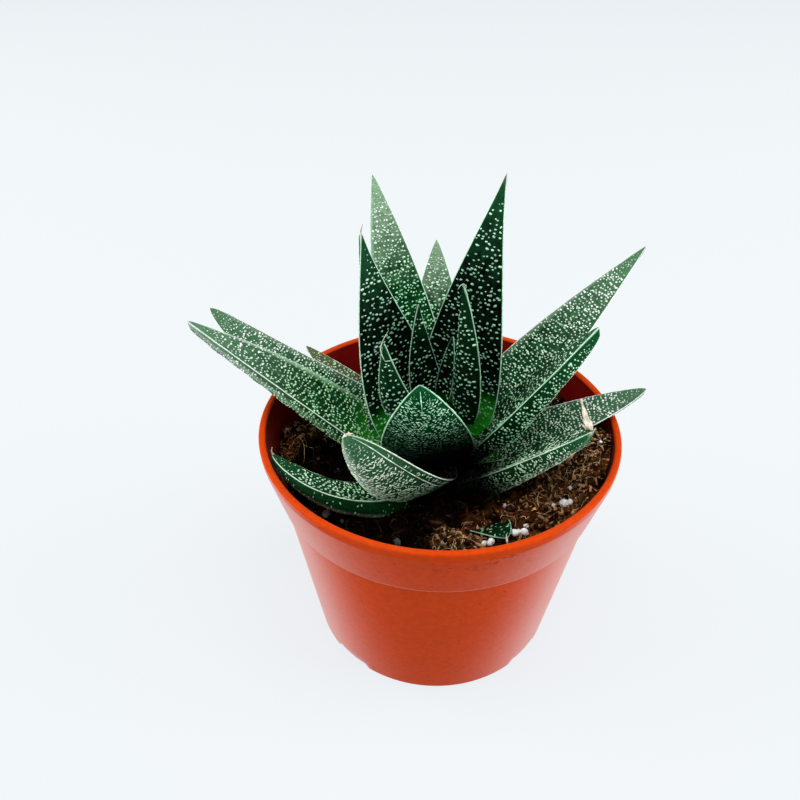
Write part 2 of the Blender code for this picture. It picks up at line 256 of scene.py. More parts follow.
def smooth_noise(x: Array, y: Array, cell: float, seed: int, size: int = 64) -> Array:
    """Smooth values from -1 to 1: random numbers on a square lattice, blended inside each square.

    Args:
        x: Places along X.
        y: Places along Y.
        cell: The lattice's pitch.
        seed: Picks the random numbers.
        size: Lattice points along each side, before it repeats.

    Returns:
        One value for each place.
    """
    table = np.random.default_rng(seed).uniform(-1.0, 1.0, (size, size))
    left, low = np.floor(x / cell), np.floor(y / cell)
    across, up = smooth_step(x / cell - left, 0.0, 1.0), smooth_step(y / cell - low, 0.0, 1.0)
    i, j = left.astype(int) % size, low.astype(int) % size
    after, above = (i + 1) % size, (j + 1) % size
    near = table[i, j] * (1.0 - across) + table[after, j] * across
    far = table[i, above] * (1.0 - across) + table[after, above] * across
    return near * (1.0 - up) + far * up


def by_chance(rng: np.random.Generator, count: int, spread: Spread) -> Array:
    """Sizes of least + more * chance ** power, most of them near the least."""
    least, more, power = spread
    return least + more * rng.random(count) ** power


def hump(x: Array, y: Array, spot: tuple[float, float], radius: float) -> Array:
    """A round hump of height one: exp(-(distance from the spot / radius)^2)."""
    return np.exp(-((x - spot[0]) ** 2 + (y - spot[1]) ** 2) / radius ** 2)


def sweep(paths: Array, radii: Array, sides: int, flatness: float = 1.0,
          place: Array | None = None) -> Shape:
    """Round or flattened profiles carried along many paths at once, closed at both ends.

    Each ring is centre + radius * (cos(angle) * side + flatness * sin(angle) * lift), where side and
    lift stand square to the path.

    Args:
        paths: n x k x 3 points.
        radii: n x k radii.
        sides: Points in each ring.
        flatness: Thickness of the profile as a share of its width.
        place: Places for the leaf's skin, one for each point.

    Returns:
        The surface.
    """
    count, steps = paths.shape[:2]
    along = unit(np.gradient(paths, axis=1))
    steep = np.abs(along @ UP)[..., None] > 0.95
    side = unit(np.cross(along, np.where(steep, np.array([1.0, 0.0, 0.0]), UP)))
    lift = np.cross(side, along)
    angle = np.arange(sides) * FULL_TURN / sides
    ring = (np.cos(angle)[:, None] * side[:, :, None, :]
            + flatness * np.sin(angle)[:, None] * lift[:, :, None, :])
    tube = (paths[:, :, None, :] + radii[:, :, None, None] * ring).reshape(count, -1, 3)
    points = np.concatenate([tube, paths[:, :1], paths[:, -1:]], axis=1)
    shift = np.arange(count)[:, None, None] * points.shape[1]
    faces = [(part[:, ::-1][None] + shift).reshape(-1, part.shape[1]) for part in ring_faces(steps, sides)]
    return Shape(points, faces, place)


# Materials

# Painted shade: leaves and crown are painted darker within a ball about this place, where shade falls among
# the front leaves.
FOOT: Point = (0.0040, -0.0172, 0.0660)  # where the front leaves meet the soil
FOOT_DARK, FOOT_CLEAR, FOOT_LIGHT = 0.0100, 0.0245, 0.015  # its ball of shade: radii, least light
# Painted shade: how much darker the soil, and what lies on it, is painted where shade falls under the
# leaves.
PAINTED_SHADE_DEPTH = 0.93  # how much darker the soil is under the crown
SKIN_COLOURS = ("deep", "fresh", "keeled", "upper", "base", "point", "mark", "tip_mark")
SKIN_AMOUNTS = ("base_reach", "upper_from", "wrinkle", "haze")


@dataclass(frozen=True)
class Value:
    """What a node puts out; arithmetic on it adds Math nodes."""

    socket: bpy.types.NodeSocket

    def step(self, operation: str, first: object, second: object) -> "Value":
        """The result of one Math node."""
        return Sheet(self.socket.id_data).add("Math", {0: first, 1: second}, operation=operation)[0]

    def __add__(self, other: object) -> "Value":
        """This and another."""
        return self.step("ADD", self, other)

    def __sub__(self, other: object) -> "Value":
        """This less another."""
        return self.step("SUBTRACT", self, other)

    def __rsub__(self, other: float) -> "Value":
        """A number less this."""
        return self.step("SUBTRACT", other, self)

    def __mul__(self, other: object) -> "Value":
        """This times another."""
        return self.step("MULTIPLY", self, other)

    def __truediv__(self, other: object) -> "Value":
        """This divided by another."""
        return self.step("DIVIDE", self, other)


@dataclass(frozen=True)
class Outputs:
    """A node's outputs, by name or number."""

    node: bpy.types.Node

    def __getitem__(self, key: str | int) -> Value:
        """One of them."""
        return Value(self.node.outputs[key])


@dataclass(frozen=True)
class Sheet:
    """A node tree, with short calls that add its nodes and join them."""

    tree: bpy.types.NodeTree

    def fill(self, node: bpy.types.Node, inputs: dict[str | int, object]) -> None:
        """Set a node's sockets, or join them to other nodes.

        Args:
            node: The node.
            inputs: What goes into each socket, by name or number: a value, or another node's output.
        """
        for key, value in inputs.items():
            socket = node.inputs[key]
            if isinstance(value, Value):
                self.tree.links.new(value.socket, socket)
            else:
                colour = isinstance(value, tuple) and socket.type == "RGBA"
                socket.default_value = (*value, 1.0) if colour else value

    def add(self, kind: str, inputs: dict[str | int, object] | None = None, **settings: object) -> Outputs:
        """Add a node.

        Args:
            kind: Blender's name of the node, without its Shader Node start.
            inputs: What goes into each socket.
            **settings: The node's own settings.

        Returns:
            Its outputs.
        """
        node = self.tree.nodes.new("ShaderNode" + kind)
        for name, value in settings.items():
            setattr(node, name, value)
        self.fill(node, inputs or {})
        return Outputs(node)

    def effect(self, name: str, **inputs: object) -> Outputs:
        """Place a shared effect with its own values."""
        return self.add("Group", inputs, node_tree=bpy.data.node_groups[name])

    def mix(self, share: object, first: object, second: object) -> Value:
        """A colour between two others."""
        return self.add("Mix", {0: share, 6: first, 7: second}, data_type="RGBA")[2]

    def rise(self, value: Value, low: object, high: object, top: float = 1.0) -> Value:
        """0 up to low and top from high on, with an S-shaped rise; low above high makes it fall."""
        return self.add("MapRange", {0: value, 1: low, 2: high, 3: 0.0, 4: top},
                        interpolation_type="SMOOTHSTEP")[0]

    def scaled(self, vector: Value, factor: object) -> Value:
        """A colour or place times a number, or with each of its parts multiplied."""
        return self.add("VectorMath", {0: vector, 1: factor}, operation="MULTIPLY")[0]

    def noise(self, vector: Value, scale: object, detail: float = 3.0) -> Value:
        """Cloudy values about 0.5."""
        return self.add("TexNoise", {"Vector": vector, "Scale": scale, "Detail": detail})[0]

    def parts(self, colour: Value) -> list[Value]:
        """A colour's three parts."""
        split = self.add("SeparateColor", {0: colour})
        return [split[number] for number in range(3)]

    def marks(self) -> list[Value]:
        """The first three marks of a surface."""
        return self.parts(self.add("Attribute", attribute_name="marks")["Color"])

    def where(self) -> Value:
        """The place on the object."""
        return self.add("TexCoord")["Object"]

    def bump(self, height: Value, distance: float, strength: float) -> Value:
        """A normal that follows small heights."""
        return self.add("Bump", {"Height": height, "Distance": distance, "Strength": strength})[0]

    def foot_shade(self, colour: Value, where: Value) -> Value:
        """A colour with painted shade: dark within a ball about the place where the front leaves meet the
        soil.
        """
        away = self.add("VectorMath", {0: where, 1: FOOT}, operation="DISTANCE")["Value"]
        return self.scaled(colour, self.rise(away, FOOT_DARK, FOOT_CLEAR, 1.0 - FOOT_LIGHT) + FOOT_LIGHT)

    def painted_shade(self, colour: Value, shade: Value) -> Value:
        """A colour darkened by painted shade, where the soil lies in shade."""
        return self.scaled(colour, 1.0 - shade * PAINTED_SHADE_DEPTH)


def new_effect(name: str, inputs: dict[str, str], outputs: dict[str, str]
               ) -> tuple[Sheet, Outputs, bpy.types.Node]:
    """Start a shared effect.

    Args:
        name: Its name.
        inputs: Each input's name and kind: Float, Vector or Color.
        outputs: The same for its outputs.

    Returns:
        Its sheet, what it is given, and the node that takes its results.
    """
    tree = bpy.data.node_groups.new(name, "ShaderNodeTree")
    for way, sockets in (("INPUT", inputs), ("OUTPUT", outputs)):
        for title, kind in sockets.items():
            tree.interface.new_socket(name=title, in_out=way, socket_type="NodeSocket" + kind)
    return Sheet(tree), Outputs(tree.nodes.new("NodeGroupInput")), tree.nodes.new("NodeGroupOutput")


def make_specks() -> None:
    """Small round specks, one in some of the cells of a cell pattern.

    A cell has a speck where its random number is under Share. The speck is a disc about the cell's
    point, whose edge is at about Size times the cell's pitch.
    """
    sheet, given, made = new_effect(
        "specks", {"Vector": "Vector", "Scale": "Float", "Size": "Float", "Share": "Float"},
        {"Mask": "Float"})
    cells = sheet.add("TexVoronoi", {"Vector": given["Vector"], "Scale": given["Scale"]})
    chance, swell, _ = sheet.parts(cells["Color"])
    edge = given["Size"] * (swell + 0.4)
    disc = sheet.rise(cells["Distance"], edge, edge * 0.55)
    sheet.fill(made, {"Mask": chance.step("LESS_THAN", chance, given["Share"]) * disc})


def make_mottle() -> None:
    """Two sizes of cloudy variation, which shade a colour darker and lighter.

    Value is the variation itself, from 0 to 1.
    """
    sheet, given, made = new_effect(
        "mottle", {"Vector": "Vector", "Colour": "Color", "Scale": "Float", "Depth": "Float"},
        {"Colour": "Color", "Value": "Float"})
    coarse = sheet.noise(given["Vector"], given["Scale"])
    fine = sheet.noise(given["Vector"], given["Scale"] * 7.0, 2.0)
    value = sheet.rise(coarse * 0.6 + fine * 0.4, 0.36, 0.64)
    swing = (value - 0.5) * given["Depth"]
    sheet.fill(made, {"Colour": sheet.scaled(given["Colour"], swing + 1.0), "Value": value})


def make_skin() -> None:
    """Leaf skin: clouded green, paler towards the point (partly its own colour, partly painted light),
    bright at its base, and darkened by painted shade at the foot.

    Marks holds how far a point is a raised white mark, its share of the way to the leaf's point, and
    whether it is on the keeled side; tone is random. Place holds millimetres across and along the leaf,
    and how dry the point is. The fine wrinkles run across the leaf.
    """
    sheet, given, made = new_effect(
        "leaf_skin",
        {"where": "Vector", "place": "Vector", "marks": "Color", "tone": "Float",
         **dict.fromkeys(SKIN_COLOURS, "Color"), **dict.fromkeys(SKIN_AMOUNTS, "Float")},
        {"Colour": "Color", "Roughness": "Float", "Height": "Float"})
    mark, share, lower = sheet.parts(given["marks"])
    place = sheet.scaled(given["place"], (1.0, 1.0, 0.0))
    dry = sheet.add("SeparateXYZ", {0: given["place"]})[2]
    clouds = sheet.noise(sheet.scaled(place, (1.0, 0.55, 1.0)), 0.42, 4.0)
    green = sheet.mix(sheet.rise(clouds, 0.38, 0.64), given["deep"], given["fresh"])
    green = sheet.mix(lower * 0.75, green, given["keeled"])
    # Partly painted light: the upper colour towards the point is partly the leaf's own paler green and
    # partly painted light on the upper leaf.
    start = given["upper_from"]
    high = (share + (clouds - 0.5) * 0.35 - start) / (1.0 - start)
    green = sheet.mix(sheet.rise(high, 0.0, 0.97), green, given["upper"])
    streaks = sheet.noise(sheet.scaled(place, (2.2, 0.10, 1.0)), 1.0, 2.0)
    green = sheet.mix(sheet.rise(streaks, 0.55, 0.80, 0.30), green, given["fresh"])
    base = 1.0 - (share + (clouds - 0.5) * 0.12) / given["base_reach"]
    green = sheet.mix(sheet.rise(base, 0.0, 0.9), green, given["base"])
    wrinkles = sheet.noise(sheet.scaled(place, (0.9, 2.6, 1.0)), 1.0, 2.0)
    crease = sheet.rise(wrinkles, 0.42, 0.62)
    dust = sheet.effect("specks", Vector=place, Scale=1.7, Size=0.30, Share=0.40)["Mask"]
    for haze in (crease, dust):
        green = sheet.mix(haze * given["haze"], green, given["mark"])
    green = sheet.mix(dry, green, given["point"])
    # Partly painted light: the raised marks are painted whiter towards the point, where more light falls,
    # and dimmer low down in the shade.
    pale = sheet.mix(sheet.rise(high, 0.0, 0.80), given["mark"], given["tip_mark"])
    white = sheet.scaled(pale, given["tone"] * 0.6 + 0.5)
    colour = sheet.mix(sheet.rise(mark, 0.15, 0.85), green, white)
    shaded = sheet.effect("mottle", Vector=place, Colour=colour, Scale=0.9, Depth=0.35)
    sheet.fill(made, {"Colour": sheet.foot_shade(shaded["Colour"], given["where"]),
                      "Roughness": mark * 0.18 + clouds * 0.16 + 0.40,
                      "Height": crease * given["wrinkle"] + dust * 0.4})


@dataclass(frozen=True)
class Finish:
    """A finish: its colours and amounts, and the nodes that paint it."""

    name: str

    def paint(self, sheet: Sheet) -> Paint:
        """What each socket of the surface shader holds or reads; a plain one is left as it is."""
        return {}

    def make(self) -> bpy.types.Material:
        """Build the material.

        Returns:
            The material.
        """
        material = bpy.data.materials.new(self.name)
        material.use_nodes = True
        sheet = Sheet(material.node_tree)
        sheet.fill(material.node_tree.nodes["Principled BSDF"], self.paint(sheet))
        return material


@dataclass(frozen=True)
class LeafFinish(Finish):
    """The colours and skin of one kind of leaf."""

    deep: Colour
    fresh: Colour
    keeled: Colour
    upper: Colour
    base: Colour = (0.030, 0.560, 0.020)
    point: Colour = (0.12, 0.11, 0.075)
    mark: Colour = (0.60, 0.92, 0.62)
    tip_mark: Colour = (0.80, 1.0, 0.80)
    base_reach: float = 0.24
    upper_from: float = 0.38
    wrinkle: float = 0.35
    haze: float = 0.01
    gloss: float = 0.025

    def paint(self, sheet: Sheet) -> Paint:
        """Leaf skin in this leaf's own colours.

        Args:
            sheet: The material's sheet.

        Returns:
            What each socket of the shader holds or reads.
        """
        marks = sheet.add("Attribute", attribute_name="marks")
        skin = sheet.effect(
            "leaf_skin", where=sheet.where(), marks=marks["Color"], tone=marks["Alpha"],
            place=sheet.add("Attribute", attribute_name="place")["Vector"],
            **{name: getattr(self, name) for name in SKIN_COLOURS + SKIN_AMOUNTS})
        return {"Base Color": skin["Colour"], "Roughness": skin["Roughness"],
                "Specular IOR Level": self.gloss, "Normal": sheet.bump(skin["Height"], 0.0003, 0.7)}


class Skin(Enum):
    """The kinds of leaf skin on the plant; several are lit and shaded copies of one skin, with light and
    shade painted into their colours.
    """

    # Painted shade: the young leaves deep in the rosette are painted near-black.
    YOUNG = LeafFinish("leaf_young", (0.0002, 0.0016, 0.0006), (0.0008, 0.0090, 0.0030),
                       (0.0008, 0.012, 0.0035), (0.0020, 0.024, 0.007), base=(0.001, 0.030, 0.002),
                       mark=(0.34, 0.64, 0.42), tip_mark=(0.44, 0.78, 0.52), base_reach=0.16, haze=0.001)
    # Painted shade: the inner leaves are painted near-black low down, and paler towards the point as painted
    # light.
    INNER = LeafFinish("leaf_inner", (0.0002, 0.0014, 0.0005), (0.0007, 0.0085, 0.0028),
                       (0.0008, 0.017, 0.005), (0.008, 0.062, 0.022), mark=(0.32, 0.62, 0.42),
                       tip_mark=(0.66, 1.0, 0.74), upper_from=0.58, haze=0.002)
    LIT = LeafFinish("leaf_lit", (0.0006, 0.026, 0.006), (0.003, 0.078, 0.018), (0.010, 0.075, 0.024),
                     (0.240, 0.385, 0.240), mark=(0.46, 0.94, 0.54), tip_mark=(0.88, 1.0, 0.90),
                     upper_from=0.54, haze=0.004)
    OUTER = LeafFinish("leaf_outer", (0.0014, 0.030, 0.008), (0.008, 0.076, 0.026), (0.004, 0.044, 0.012),
                       (0.074, 0.182, 0.090), mark=(0.72, 0.98, 0.72), tip_mark=(0.95, 1.0, 0.95),
                       base_reach=0.20, haze=0.008)
    GOLDEN = LeafFinish("leaf_golden_base", (0.0006, 0.024, 0.004), (0.003, 0.070, 0.016),
                        (0.005, 0.055, 0.014), (0.090, 0.210, 0.110), base=(0.045, 0.560, 0.012),
                        mark=(0.56, 1.0, 0.56), tip_mark=(0.92, 1.0, 0.92), base_reach=0.31, haze=0.004)
    SHADED = LeafFinish("leaf_shaded", (0.0002, 0.0090, 0.0016), (0.001, 0.040, 0.009),
                        (0.0006, 0.022, 0.005), (0.003, 0.066, 0.018), base=(0.0006, 0.012, 0.002),
                        mark=(0.44, 0.84, 0.50), tip_mark=(0.68, 1.0, 0.72), haze=0.002)
    # Painted shade: the front leaf's base and its lower marks are painted near-black.
    FRONT = LeafFinish("leaf_front_skin", (0.0004, 0.010, 0.003), (0.002, 0.036, 0.010),
                       (0.0006, 0.018, 0.005), (0.002, 0.062, 0.017), base=(0.0004, 0.003, 0.0010),
                       mark=(0.05, 0.14, 0.08), tip_mark=(0.56, 1.0, 0.68), base_reach=0.60, wrinkle=0.8,
                       haze=0.002)
    # Painted shade: the base of this leaf is painted near-black.
    HAZY = LeafFinish("leaf_hazy", (0.001, 0.018, 0.005), (0.006, 0.056, 0.018), (0.006, 0.046, 0.014),
                      (0.036, 0.125, 0.056), base=(0.0010, 0.010, 0.002), point=(0.50, 0.50, 0.38),
                      mark=(0.58, 0.92, 0.60), tip_mark=(0.84, 1.0, 0.82), base_reach=0.30, wrinkle=0.8,
                      haze=0.010)
    # Painted shade: the bases of these leaves are painted near-black.
    STOUT = LeafFinish("leaf_stout", (0.0003, 0.012, 0.0022), (0.0014, 0.042, 0.010), (0.0012, 0.036, 0.007),
                       (0.010, 0.082, 0.026), base=(0.0010, 0.012, 0.002), point=(0.40, 0.38, 0.28),
                       mark=(0.52, 0.90, 0.56), tip_mark=(0.76, 1.0, 0.76), base_reach=0.22, wrinkle=0.8,
                       haze=0.004)
    OLIVE = LeafFinish("leaf_olive", (0.026, 0.040, 0.010), (0.076, 0.095, 0.032), (0.040, 0.055, 0.018),
                       (0.10, 0.12, 0.05), base=(0.060, 0.110, 0.012), haze=0.03)


@dataclass(frozen=True)
class CrownFinish(Finish):
    """Green plant tissue of the short stem."""

    name: str = "crown_tissue"
    deep: Colour = (0.0015, 0.016, 0.003)
    fresh: Colour = (0.014, 0.080, 0.010)

    def paint(self, sheet: Sheet) -> Paint:
        """Clouded green, darkened by painted shade at the foot.

        Args:
            sheet: The material's sheet.

        Returns:
            What each socket of the shader holds or reads.
        """
        where = sheet.where()
        clouds = sheet.noise(sheet.scaled(where, (300.0, 300.0, 900.0)), 1.0)
        green = sheet.mix(sheet.rise(clouds, 0.35, 0.65), self.deep, self.fresh)
        shaded = sheet.effect("mottle", Vector=where, Colour=green, Scale=500.0, Depth=0.6)
        return {"Base Color": sheet.foot_shade(shaded["Colour"], where), "Roughness": 0.6,
                "Specular IOR Level": 0.05, "Normal": sheet.bump(clouds, 0.0008, 0.8)}


@dataclass(frozen=True)
class PotFinish(Finish):
    """Satin orange plastic with dust and specks of soil, painted brighter on the lip's top as painted light
    and darker on the inner wall as painted shade.
    """

    name: str = "pot_plastic"
    wall: Colour = (0.510, 0.044, 0.002)
    lip: Colour = (0.560, 0.048, 0.003)
    inside: Colour = (0.170, 0.004, 0.003)
    dust: Colour = (0.500, 0.075, 0.020)
    soil: Colour = (0.060, 0.012, 0.006)

    def paint(self, sheet: Sheet) -> Paint:
        """Plastic with a fine grain, two sizes of specks, smears where the marks call for soil, painted
        shade on the inner wall and painted light on the lip's top.

        Args:
            sheet: The material's sheet.

        Returns:
            What each socket of the shader holds or reads.
        """
        where = sheet.where()
        inner, lip, soiled = sheet.marks()
        # Painted shade and painted light: the marks pick a darker red for the inner wall and a brighter
        # orange for the lip's top.
        colour = sheet.mix(inner, sheet.mix(lip, self.wall, self.lip), self.inside)
        clouds = sheet.noise(where, 55.0, 5.0)
        colour = sheet.mix(sheet.rise(clouds, 0.45, 0.75, 0.12), colour, self.dust)
        grain = sheet.effect("mottle", Vector=where, Colour=colour, Scale=640.0, Depth=0.17)
        drawn = sheet.scaled(where, (0.55, 1.0, 1.5))
        fine, few, smears = [
            sheet.effect("specks", Vector=place, Scale=scale, Size=size, Share=share)["Mask"] * strength
            for place, scale, size, share, strength in (
                (where, 620.0, 0.20, 0.11, 0.55), (where, 150.0, 0.10, 0.10, 0.8),
                (drawn, 1100.0, 0.52, 0.66, soiled))]
        dirt = fine.step("MAXIMUM", fine, few.step("MAXIMUM", few, smears))
        facing = sheet.add("LayerWeight", {"Blend": 0.5})["Facing"]
        return {"Base Color": sheet.mix(dirt, grain["Colour"], self.soil),
                "Roughness": clouds * 0.22 + dirt * 0.4 + 0.26, "Specular IOR Level": 0.02,
                "Normal": sheet.bump(grain["Value"] * 0.25 + dirt, 0.00012, 0.5),
                "Coat Weight": sheet.rise(facing, 0.55, 0.85), "Coat IOR": 2.35, "Coat Roughness": 0.35}


@dataclass(frozen=True)
class SoilFinish(Finish):
    """Peat: near-black to brown at random, golden where it is dry and fibrous, and darkened by painted shade
    under the leaves.
    """

    name: str = "peat"
    wet: Colour = (0.0040, 0.0018, 0.0010)
    brown: Colour = (0.120, 0.034, 0.008)
    golden: Colour = (0.880, 0.460, 0.180)

    def paint(self, sheet: Sheet) -> Paint:
        """Peat whose marks hold a random tone, the share of golden fibre, and how much painted shade it
        gets.

        Args:
            sheet: The material's sheet.

        Returns:
            What each socket of the shader holds or reads.
        """
        where = sheet.where()
        tone, gold, shade = sheet.marks()
        clouds = sheet.noise(where, 320.0, 5.0)
        colour = sheet.mix(sheet.rise(clouds * 0.8 + tone * 0.5, 0.45, 1.00), self.wet, self.brown)
        strands = sheet.noise(sheet.scaled(where, (700.0, 1900.0, 700.0)), 1.0)
        colour = sheet.mix(sheet.rise(strands, 0.55, 0.72) * gold, colour, self.golden)
        # Painted shade: the peat is painted darker where its third mark says it lies in shade.
        return {"Base Color": sheet.painted_shade(colour, shade), "Roughness": 0.9, "Specular IOR Level": 0.02,
                "Normal": sheet.bump(clouds + strands, 0.0008, 0.9)}


@dataclass(frozen=True)
class GrainFinish(Finish):
    """A plain dry stuff whose pieces differ in tone: fibre, perlite or withered leaf."""

    dark: Colour
    pale: Colour
    scale: float
    roughness: float = 0.8
    depth: float = 0.7
    green: Colour = (0.34, 0.62, 0.38)

    def paint(self, sheet: Sheet) -> Paint:
        """Stuff whose marks hold a tone, how green a piece is and how much painted shade it gets.

        Args:
            sheet: The material's sheet.

        Returns:
            What each socket of the shader holds or reads.
        """
        tone, fresh, shade = sheet.marks()
        colour = sheet.mix(fresh, sheet.mix(tone, self.dark, self.pale), self.green)
        # Painted shade: each piece is painted darker where its third mark says it lies in shade.
        shaded = sheet.effect("mottle", Vector=sheet.where(), Colour=sheet.painted_shade(colour, shade),
                              Scale=self.scale, Depth=self.depth)
        return {"Base Color": shaded["Colour"], "Roughness": self.roughness, "Specular IOR Level": 0.02,
                "Normal": sheet.bump(shaded["Value"], 0.0002, 0.8)}


@dataclass(frozen=True)
class PaperFinish(Finish):
    """Floor paper that glows a little, so that it looks evenly pale."""

    name: str = "floor_paper"
    colour: Colour = (0.12, 0.12, 0.12)
    tint: Colour = (0.914, 0.967, 1.0)
    glow: float = 0.79

    def paint(self, sheet: Sheet) -> Paint:
        """Plain values."""
        return {"Base Color": self.colour, "Roughness": 0.9, "Specular IOR Level": 0.0,
                "Emission Color": self.tint, "Emission Strength": self.glow}


# Leaves


@dataclass(frozen=True)
class DotStyle:
    """How the raised white marks are laid out on one face of a leaf."""

    row_gap: float
    dot_gap: float
    length: float  # across the leaf
    breadth: float  # along the leaf
    height: float = 0.00018
    scatter: float = 0.34
    missing: float = 0.10
    tilt: float = 0.28  # radians
    bend: float = 0.15


class Dots(Enum):
    """The ways in which raised marks lie on the leaves."""

    SPARSE = DotStyle(0.00146, 0.00146, 0.00049, 0.00033)
    LOOSE = DotStyle(0.00122, 0.00126, 0.00048, 0.00035)
    CLOSE = DotStyle(0.00100, 0.00106, 0.00041, 0.00031, missing=0.06)
    WRINKLED = DotStyle(0.00073, 0.00124, 0.00058, 0.00021, 0.00020, 0.30, 0.06, 0.42, 0.60)
    FINE = DotStyle(0.00060, 0.00108, 0.00048, 0.00017, 0.00018, 0.32, 0.08, 0.50, 0.70)
    WORMY = DotStyle(0.00058, 0.00118, 0.00060, 0.00018, 0.00018, 0.30, 0.04, 0.40, 0.60)
    FAINT = DotStyle(0.00110, 0.00140, 0.00046, 0.00018, 0.00012, missing=0.55)


@dataclass(frozen=True)
class BloomAndSheen:
    """A pale band that runs along one face of a leaf: partly waxy bloom, and partly painted sheen where the
    face turns away towards its edge.
    """

    place: float  # across, from -1 to 1
    width: float
    strength: float
    below: bool = True


@dataclass(frozen=True)
class Leaf:
    """One leaf: the sizes of its solid, and the look of its two faces."""

    node: str
    tip: Point
    seat: Point  # heading, distance from the pot's axis and height of its start
    bow: tuple[float, float]  # how far its middle stands above, and left of, a straight line
    width: float
    keel: float
    roll: float = 0.0
    twist: float = 0.0
    point: float = 0.9
    offset: float = 0.0
    skin: Skin = Skin.OUTER
    upper: Dots = Dots.CLOSE
    lower: Dots = Dots.WRINKLED
    ridge_from: float = 1.0  # share of its length from which a pale line follows its keel
    ridge_across: float = 0.0  # the line's place, as a share of half the width from the keel
    dry: float = 0.010  # share of its length that is withered at the point
    cord: float = 0.00015  # radius of the pale cords on its margins and keel
    bloom_and_sheen: tuple[BloomAndSheen, ...] = ()


